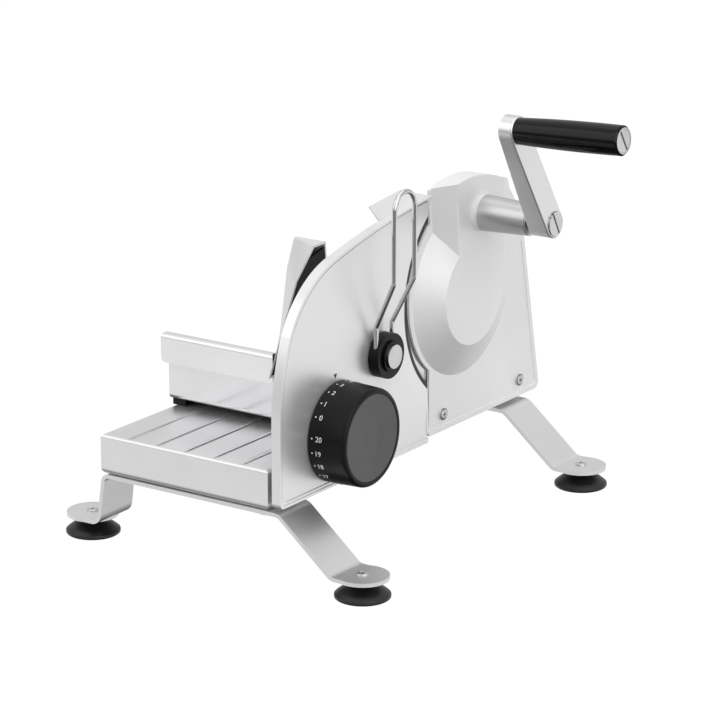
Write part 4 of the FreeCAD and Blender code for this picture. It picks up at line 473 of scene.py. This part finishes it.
def tray_ribs():
    """The ribs along the tray's top, pressed up from below at an even pitch."""
    low, high = (np.array(corner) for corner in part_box("tray"))
    places = RIB_FIRST + RIB_PITCH * np.arange(RIB_COUNT)
    ribs = [pressed_rib(x, low[1] + RIB_INSET, high[1] - RIB_INSET, high[2]) for x in places]
    add_piece("tray_ribs", *joined(ribs), sheet_metal, "base", "sheet_aluminium")


def cross_socket(x, y, reach, width, depth):
    """The depth of a cross-shaped socket: two crossed bars with sloped walls and ends."""
    along = np.maximum(abs(x), abs(y))
    across = np.minimum(abs(x), abs(y))
    walls = np.clip((width - across) / (0.4 * width), 0, 1)
    ends = np.clip((reach - along) / (0.55 * reach), 0, 1)
    return depth * walls * ends


def screw_top(radius, rise, rim, socket, rings=26, around=96):
    """Rows of a screw head's face: a dome that falls with the radius squared, less its socket."""
    reach = np.linspace(0, 1, rings + 1)[1:, None] * radius
    turn = np.linspace(0, FULL_TURN, around, endpoint=False)[None]
    x, y = reach * np.cos(turn), reach * np.sin(turn)
    height = rim + (rise - rim) * (1 - (reach / radius) ** 2) - cross_socket(x, y, *socket)
    return np.stack([x, y, height], -1)


def socket_floor(reach, width, low, high):
    """Rows of a plus-shaped black plug of painted shade that fills the bottom of a cross-shaped
    socket:
    the three corners of one arm, turned by a quarter three times."""
    bar = width / 2
    x, y = np.array([(reach, -bar), (reach, bar), (bar, bar)]).T
    turn = np.arange(4)[:, None] * math.pi / 2
    outline = np.stack([np.cos(turn) * x - np.sin(turn) * y, np.sin(turn) * x + np.cos(turn) * y],
                       -1).reshape(-1, 2)
    rows = np.empty((2, len(outline), 3))
    rows[..., :2] = outline
    rows[..., 2] = np.array([low, high])[:, None]
    return rows


def turned_rows(profile, around=96):
    """Rows of a turned shape: each (radius, height) of the profile carried round the axis."""
    radius, height = (np.array(profile)[:, k, None] for k in (0, 1))
    turn = np.linspace(0, FULL_TURN, around, endpoint=False)
    return np.stack([radius * np.cos(turn), radius * np.sin(turn), height + 0 * turn], -1)


def foot_screw_heads():
    """The four screws of the rubber feet, each with a domed head and a cross-shaped socket."""
    low, high = (np.array(corner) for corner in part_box("foot_screws"))
    radius, shank, top = FOOT_HEAD_RADIUS, FOOT_SHANK_RADIUS, high[2]
    seat = top - FOOT_HEAD_DEPTH
    face = screw_top(radius * 0.86, FOOT_DOME, -0.25 * MM, FOOT_SOCKET)
    face[..., 2] += top - FOOT_DOME
    edge = turned_rows([(radius * 0.95, top - 0.85 * MM), (radius, top - 1.25 * MM),
                        (radius, seat), (shank, seat), (shank, low[2])])
    x, y = high[:2] - radius
    spots = [(-x, -y, 0), (-x, y, 0), (x, -y, 0), (x, y, 0)]
    heads = add_piece("foot_screw_heads", *repeated(np.concatenate([face, edge]), spots),
                      steel_metal, "base", "steel")
    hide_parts("foot_screws")
    # A black plug at the bottom of each socket is painted shade.
    floor = socket_floor(2.3 * MM, 0.8 * MM, top - 1.2 * MM, top - 0.5 * MM)
    add_piece("foot_screw_socket_shade", *repeated(floor, spots), print_and_shade_black, "base", "black_satin")


def housing_screw_faces():
    """Raised faces with cross-shaped sockets on the two sunk screws of the housing.

    Each row is made about Z and then laid over, so that it looks along X.
    """
    low, high = (np.array(corner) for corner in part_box("housing_screws"))
    radius = (high[2] - low[2]) / 2
    face, level = high[0], (high[2] + low[2]) / 2
    spots = [(face, low[1] + radius, level), (face, high[1] - radius, level)]
    edge = radius * HOUSING_RIM_SHARE
    top = screw_top(radius * 0.84, 0.9 * MM, 0.3 * MM, HOUSING_SOCKET)
    rim = turned_rows([(edge, 0.08 * MM), (edge, HOUSING_SEAT)])
    rows = np.concatenate([top, rim])
    add_piece("housing_screw_faces", *repeated(np.roll(rows, 1, -1), spots), steel_metal, "base",
              "steel")
    # A black plug at the bottom of each socket is painted shade.
    floor = socket_floor(2.0 * MM, 0.75 * MM, HOUSING_SEAT, 0.45 * MM)
    add_piece("housing_screw_socket_shade", *repeated(np.roll(floor, 1, -1), spots), print_and_shade_black,
              "base", "black_satin")
    # A thin black band round each head, over the seat's gap, is painted shade.
    gap, lift = radius * 1.02, 0.04 * MM
    band = turned_rows([(edge, HOUSING_SEAT), (edge, lift), (gap, lift), (gap, HOUSING_SEAT)])
    add_piece("housing_screw_gap_shade", *repeated(np.roll(band, 1, -1), spots, ring), print_and_shade_black,
              "base", "black_satin")


def bend(before, corner, after, radius, count=9):
    """Points on the arc that rounds a corner of a line.

    From the arc's centre, each is the sum of the arms to its start and its end, weighed by the
    sines of the turn that is left and the turn that is done.
    """
    near, far = unit(np.array([corner - before, after - corner]))
    turn = math.acos(near @ far)
    centre = corner + (far - near) / np.linalg.norm(far - near) * radius / math.cos(turn / 2)
    start = corner - near * radius * math.tan(turn / 2) - centre
    end = corner + far * radius * math.tan(turn / 2) - centre
    share = np.linspace(0, 1, count)[:, None] * turn
    return centre + (np.sin(turn - share) * start + np.sin(share) * end) / math.sin(turn)


def deflector_loop():
    """The bent wire of the deflector at its full thickness, along the CAD wire's own line.

    The line runs up from the hub, out through two bends, over a half circle and back down; a
    circle is carried along it, square to it all the way.
    """
    low, high = (np.array(corner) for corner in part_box("deflector_wire"))
    near, far = low + CAD_WIRE_RADIUS, high - CAD_WIRE_RADIUS
    spread = (far[1] - near[1]) / 2
    middle, centre = (near[1] + far[1]) / 2, far[2] - spread
    turn = np.linspace(math.pi, 0, WIRE_TOP_STEPS)
    over = np.column_stack([np.full(WIRE_TOP_STEPS, far[0]), middle + spread * np.cos(turn),
                            centre + spread * np.sin(turn)])
    legs = []
    for leg, side in ((near[1] + WIRE_LEG_INSET, near[1]), (far[1] - WIRE_LEG_INSET, far[1])):
        spots = np.array([(near[0], leg, low[2]), (near[0], leg, low[2] + WIRE_FIRST_BEND),
                          (far[0], side, low[2] + WIRE_SECOND_BEND), (far[0], side, centre)])
        legs.append(np.vstack([spots[:1], bend(*spots[0:3], WIRE_BEND_RADIUS),
                               bend(*spots[1:4], WIRE_BEND_RADIUS)]))
    line = np.vstack([legs[0], over, legs[1][::-1]])
    along = np.gradient(line, axis=0)
    side = unit(np.cross(along, (1, 0, 0)))[:, None]
    out = unit(np.cross(side[:, 0], along))[:, None]
    around = np.linspace(0, FULL_TURN, 24, endpoint=False)[None, :, None]
    rows = line[:, None] + WIRE_RADIUS * (np.cos(around) * side + np.sin(around) * out)
    slot = slot_of["deflector_wire"]
    wire = add_piece("deflector_loop", *skin(rows), BY_SLOT[slot], "deflector", slot)
    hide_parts("deflector_wire")


# Printed marks
def flat_print(text, size, thickness):
    """Points and faces of a line of raised print: x along the line from its start, y up, z out."""
    line = bpy.data.curves.new("line_of_print", "FONT")
    line.body = text
    line.size = size
    line.extrude = thickness
    line.resolution_u = 3
    thing = bpy.data.objects.new("line_of_print", line)
    scene.collection.objects.link(thing)
    reader = bpy.context.evaluated_depsgraph_get()
    mesh = bpy.data.meshes.new_from_object(thing.evaluated_get(reader))
    points = np.empty(len(mesh.vertices) * 3)
    mesh.vertices.foreach_get("co", points)
    points = points.reshape(-1, 3)
    faces = [tuple(polygon.vertices) for polygon in mesh.polygons]
    bpy.data.meshes.remove(mesh)
    bpy.data.objects.remove(thing)
    bpy.data.curves.remove(line)
    points[:, 0] -= points[:, 0].min()
    points[:, 1] -= (points[:, 1].min() + points[:, 1].max()) / 2
    return points, faces


def round_knob(points, start, angle):
    """Flat points laid round the knob: x along its axis, y as an arc, z out from its side."""
    turn = math.radians(angle) - points[:, 1] / KNOB_RADIUS
    reach = KNOB_RADIUS + points[:, 2]
    return np.stack([start + points[:, 0], KNOB_AXIS[0] + reach * np.cos(turn),
                     KNOB_AXIS[1] + reach * np.sin(turn)], -1)


def dial_print():
    """The thickness scale: a dot and a number for each millimetre from 0 to 20."""
    dot = turned_rows([(DOT_RADIUS, -PRINT_LIFT), (DOT_RADIUS, PRINT_LIFT)], around=20)
    dot_points, dot_faces = skin(dot)
    parts = []
    for number in range(DIAL_MARKS):
        angle = DIAL_ZERO - DIAL_STEP * number
        points, faces = flat_print(str(number), DIGIT_SIZE, PRINT_LIFT)
        parts.append((round_knob(points, DOT_LINE + DIGIT_START, angle), faces))
        parts.append((round_knob(dot_points, DOT_LINE, angle), dot_faces))
    add_piece("dial_print", *joined(parts), print_white, "thickness_knob", "black_satin")


def arc_through(start, middle, end, count=24):
    """Points on the circle through three points, from the first to the last.

    Its centre is as far from the first and the last as from the one between them.
    """
    start, middle, end = (np.array(spot) for spot in (start, middle, end))
    chords = np.array([middle - start, end - middle])
    halves = np.array([(start + middle) / 2, (middle + end) / 2])
    centre = np.linalg.solve(chords, (chords * halves).sum(1))
    arms = np.array([start, middle, end]) - centre
    turns = np.unwrap(np.arctan2(arms[:, 1], arms[:, 0]))
    steps = np.linspace(turns[0], turns[2], count)
    return centre + np.hypot(*arms[0]) * np.column_stack([np.cos(steps), np.sin(steps)])


def rim_line():
    """A dark band of painted shade at the foot of the stop plate's raised rim, where its step casts
    a thin shadow.

    It follows the plate's straight front edge and the three arcs above it at an even inset, as a
    thin round band sunk by half into the plate's face.
    """
    low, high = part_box("stop_plate")
    front, bottom = low[1] + RIM_INSET, low[2] + RIM_INSET
    tip, top = PLATE_TIP[0] - 3 * RIM_INSET, PLATE_TIP[1] - RIM_INSET
    bends = [(front + back, bottom + up - drops * RIM_INSET) for back, up, drops in RIM_SPOTS]
    shoulder = front + SHOULDER_BACK
    bends += [(shoulder, top - SHOULDER_DROP), ((shoulder + tip) / 2, top - CROWN_DROP), (tip, top)]
    line = np.vstack([[(front, bottom + RIM_START)], arc_through(*bends[0:3]),
                      arc_through(*bends[2:5])[1:], arc_through(*bends[4:7])[1:]])
    along = unit(np.gradient(line, axis=0))
    across = np.column_stack([-along[:, 1], along[:, 0]])
    around = np.linspace(0, FULL_TURN, 8, endpoint=False)
    rows = np.empty((len(line), len(around), 3))
    rows[..., 0] = high[0] - PLATE_RECESS + np.sin(around) * RIM_HALF_WIDTH
    rows[..., 1:] = line[:, None] + across[:, None] * (np.cos(around) * RIM_HALF_WIDTH)[:, None]
    add_piece("plate_rim_painted_shade", *skin(rows), rim_shade_grey, "stop_plate", "cast_aluminium")


def pointer_mark():
    """The printed triangle above the knob, its tip down."""
    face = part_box("stop_plate")[1][0] - PLATE_RECESS
    y, z = POINTER
    rows = np.empty((2, 3, 3))
    rows[..., 0] = np.array([face - PRINT_LIFT, face + PRINT_LIFT])[:, None]
    rows[..., 1:] = [(y - POINTER_HALF_WIDTH, z + POINTER_HALF_HEIGHT),
                     (y, z - POINTER_HALF_HEIGHT),
                     (y + POINTER_HALF_WIDTH, z + POINTER_HALF_HEIGHT)]
    add_piece("pointer_mark", *skin(rows), print_and_shade_black, "stop_plate", "black_satin")


tray_ribs()
foot_screw_heads()
deflector_loop()
housing_screw_faces()
dial_print()
rim_line()
pointer_mark()


# Floor, light and camera
FLOOR_REACH = 12
FLOOR_GREY = 0.42
FLOOR_WHITE = 1.1
FLOOR_GLOW_SHARE = 0.9
ROOM_FRONT = (0.5663, -0.8242, 0)
ROOM_SLOPE = (0, 0.04, 0.42)
MIDDLE = (0, 0, 0.15)
LAMPS = (("key", (-1.3, -1.7, 1.5), 2.0, 10), ("fill", (2.0, -0.7, 1.1), 2.0, 17),
         ("top", (0.2, 0.1, 2.4), 2.4, 8))
LENS = 167.2
SENSOR_WIDTH = 36
EYE = (1.4185, -2.0366, 0.8590)
LOOK = (-0.5433, 0.7896, -0.2850)


def plain_floor():
    """A large pale square at the height of the feet.

    The eye sees it nearly white, with the object's shadow. Polished metal sees it bright along
    the ground, darker straight down, and darker in front of the object's right side.
    """
    mesh = bpy.data.meshes.new("floor")
    reach = FLOOR_REACH
    corners = [(-reach, -reach, 0), (reach, -reach, 0), (reach, reach, 0), (-reach, reach, 0)]
    mesh.from_pydata(corners, [], [(0, 1, 2, 3)])
    floor = bpy.data.objects.new("floor", mesh)
    scene.collection.objects.link(floor)
    material = bpy.data.materials.new("floor_paint")
    material.use_nodes = True
    mesh.materials.append(material)
    material.node_tree.nodes.clear()
    tree = Nodes(material.node_tree)
    paint = tree.add("BsdfDiffuse")
    paint.inputs["Color"].default_value = (FLOOR_GREY, FLOOR_GREY, FLOOR_GREY, 1)
    path = tree.add("LightPath")
    seen, mirrored = path.outputs["Is Camera Ray"], path.outputs["Is Glossy Ray"]
    along = tree.spread(tree.add("LayerWeight").outputs["Facing"], 0.06, 1.05, 0.25, 0.66)
    front = tree.spread(tree.reach("Object", ROOM_FRONT), 1, 0.2, 0.3, 0.65)
    glow = tree.add("Emission")
    shine = tree.product(tree.product(along, front), mirrored)
    tree.link(tree.sum_of(shine, tree.product(seen, FLOOR_WHITE)), glow.inputs["Strength"])
    share = tree.sum_of(tree.product(seen, FLOOR_GLOW_SHARE),
                        tree.product(mirrored, FLOOR_GLOW_SHARE))
    mix = tree.add("MixShader")
    tree.link(share, mix.inputs["Fac"])
    tree.link(paint.outputs["BSDF"], mix.inputs[1])
    tree.link(glow.outputs["Emission"], mix.inputs[2])
    tree.link(mix.outputs["Shader"], tree.add("OutputMaterial").inputs["Surface"])


def studio_world():
    """White to the camera; to all else a room that grows brighter upwards and to the rear."""
    world = bpy.data.worlds.new("studio")
    scene.world = world
    world.use_nodes = True
    tree = Nodes(world.node_tree)
    back = world.node_tree.nodes["Background"]
    level = tree.spread(tree.reach("Generated", ROOM_SLOPE), 0.52, 0.92, 0, 0.42)
    mix = tree.add("Mix", data_type="FLOAT")
    tree.link(tree.add("LightPath").outputs["Is Camera Ray"], mix.inputs["Factor"])
    tree.link(level, mix.inputs["A"])
    mix.inputs["B"].default_value = 1
    tree.link(mix.outputs["Result"], back.inputs["Strength"])
    back.inputs["Color"].default_value = (1, 1, 1, 1)


def soft_light(name, where, size, power):
    """A square lamp that faces the middle of the object."""
    lamp = bpy.data.lights.new(name, "AREA")
    lamp.size = size
    lamp.energy = power
    thing = bpy.data.objects.new(name, lamp)
    scene.collection.objects.link(thing)
    thing.location = where
    thing.rotation_euler = facing(Vector(MIDDLE) - Vector(where))


def facing(direction):
    """The turn that points a lamp or camera along a direction, with its top up."""
    return direction.to_track_quat("-Z", "Y").to_euler()


plain_floor()
studio_world()
for lamp in LAMPS:
    soft_light(*lamp)

eye = bpy.data.cameras.new("photo_camera")
eye.lens = LENS
eye.sensor_width = SENSOR_WIDTH
eye.clip_start = 0.1
eye.clip_end = 60
camera = bpy.data.objects.new("photo_camera", eye)
scene.collection.objects.link(camera)
camera.location = EYE
camera.rotation_euler = facing(Vector(LOOK))
scene.camera = camera
scene.view_settings.view_transform = "Standard"
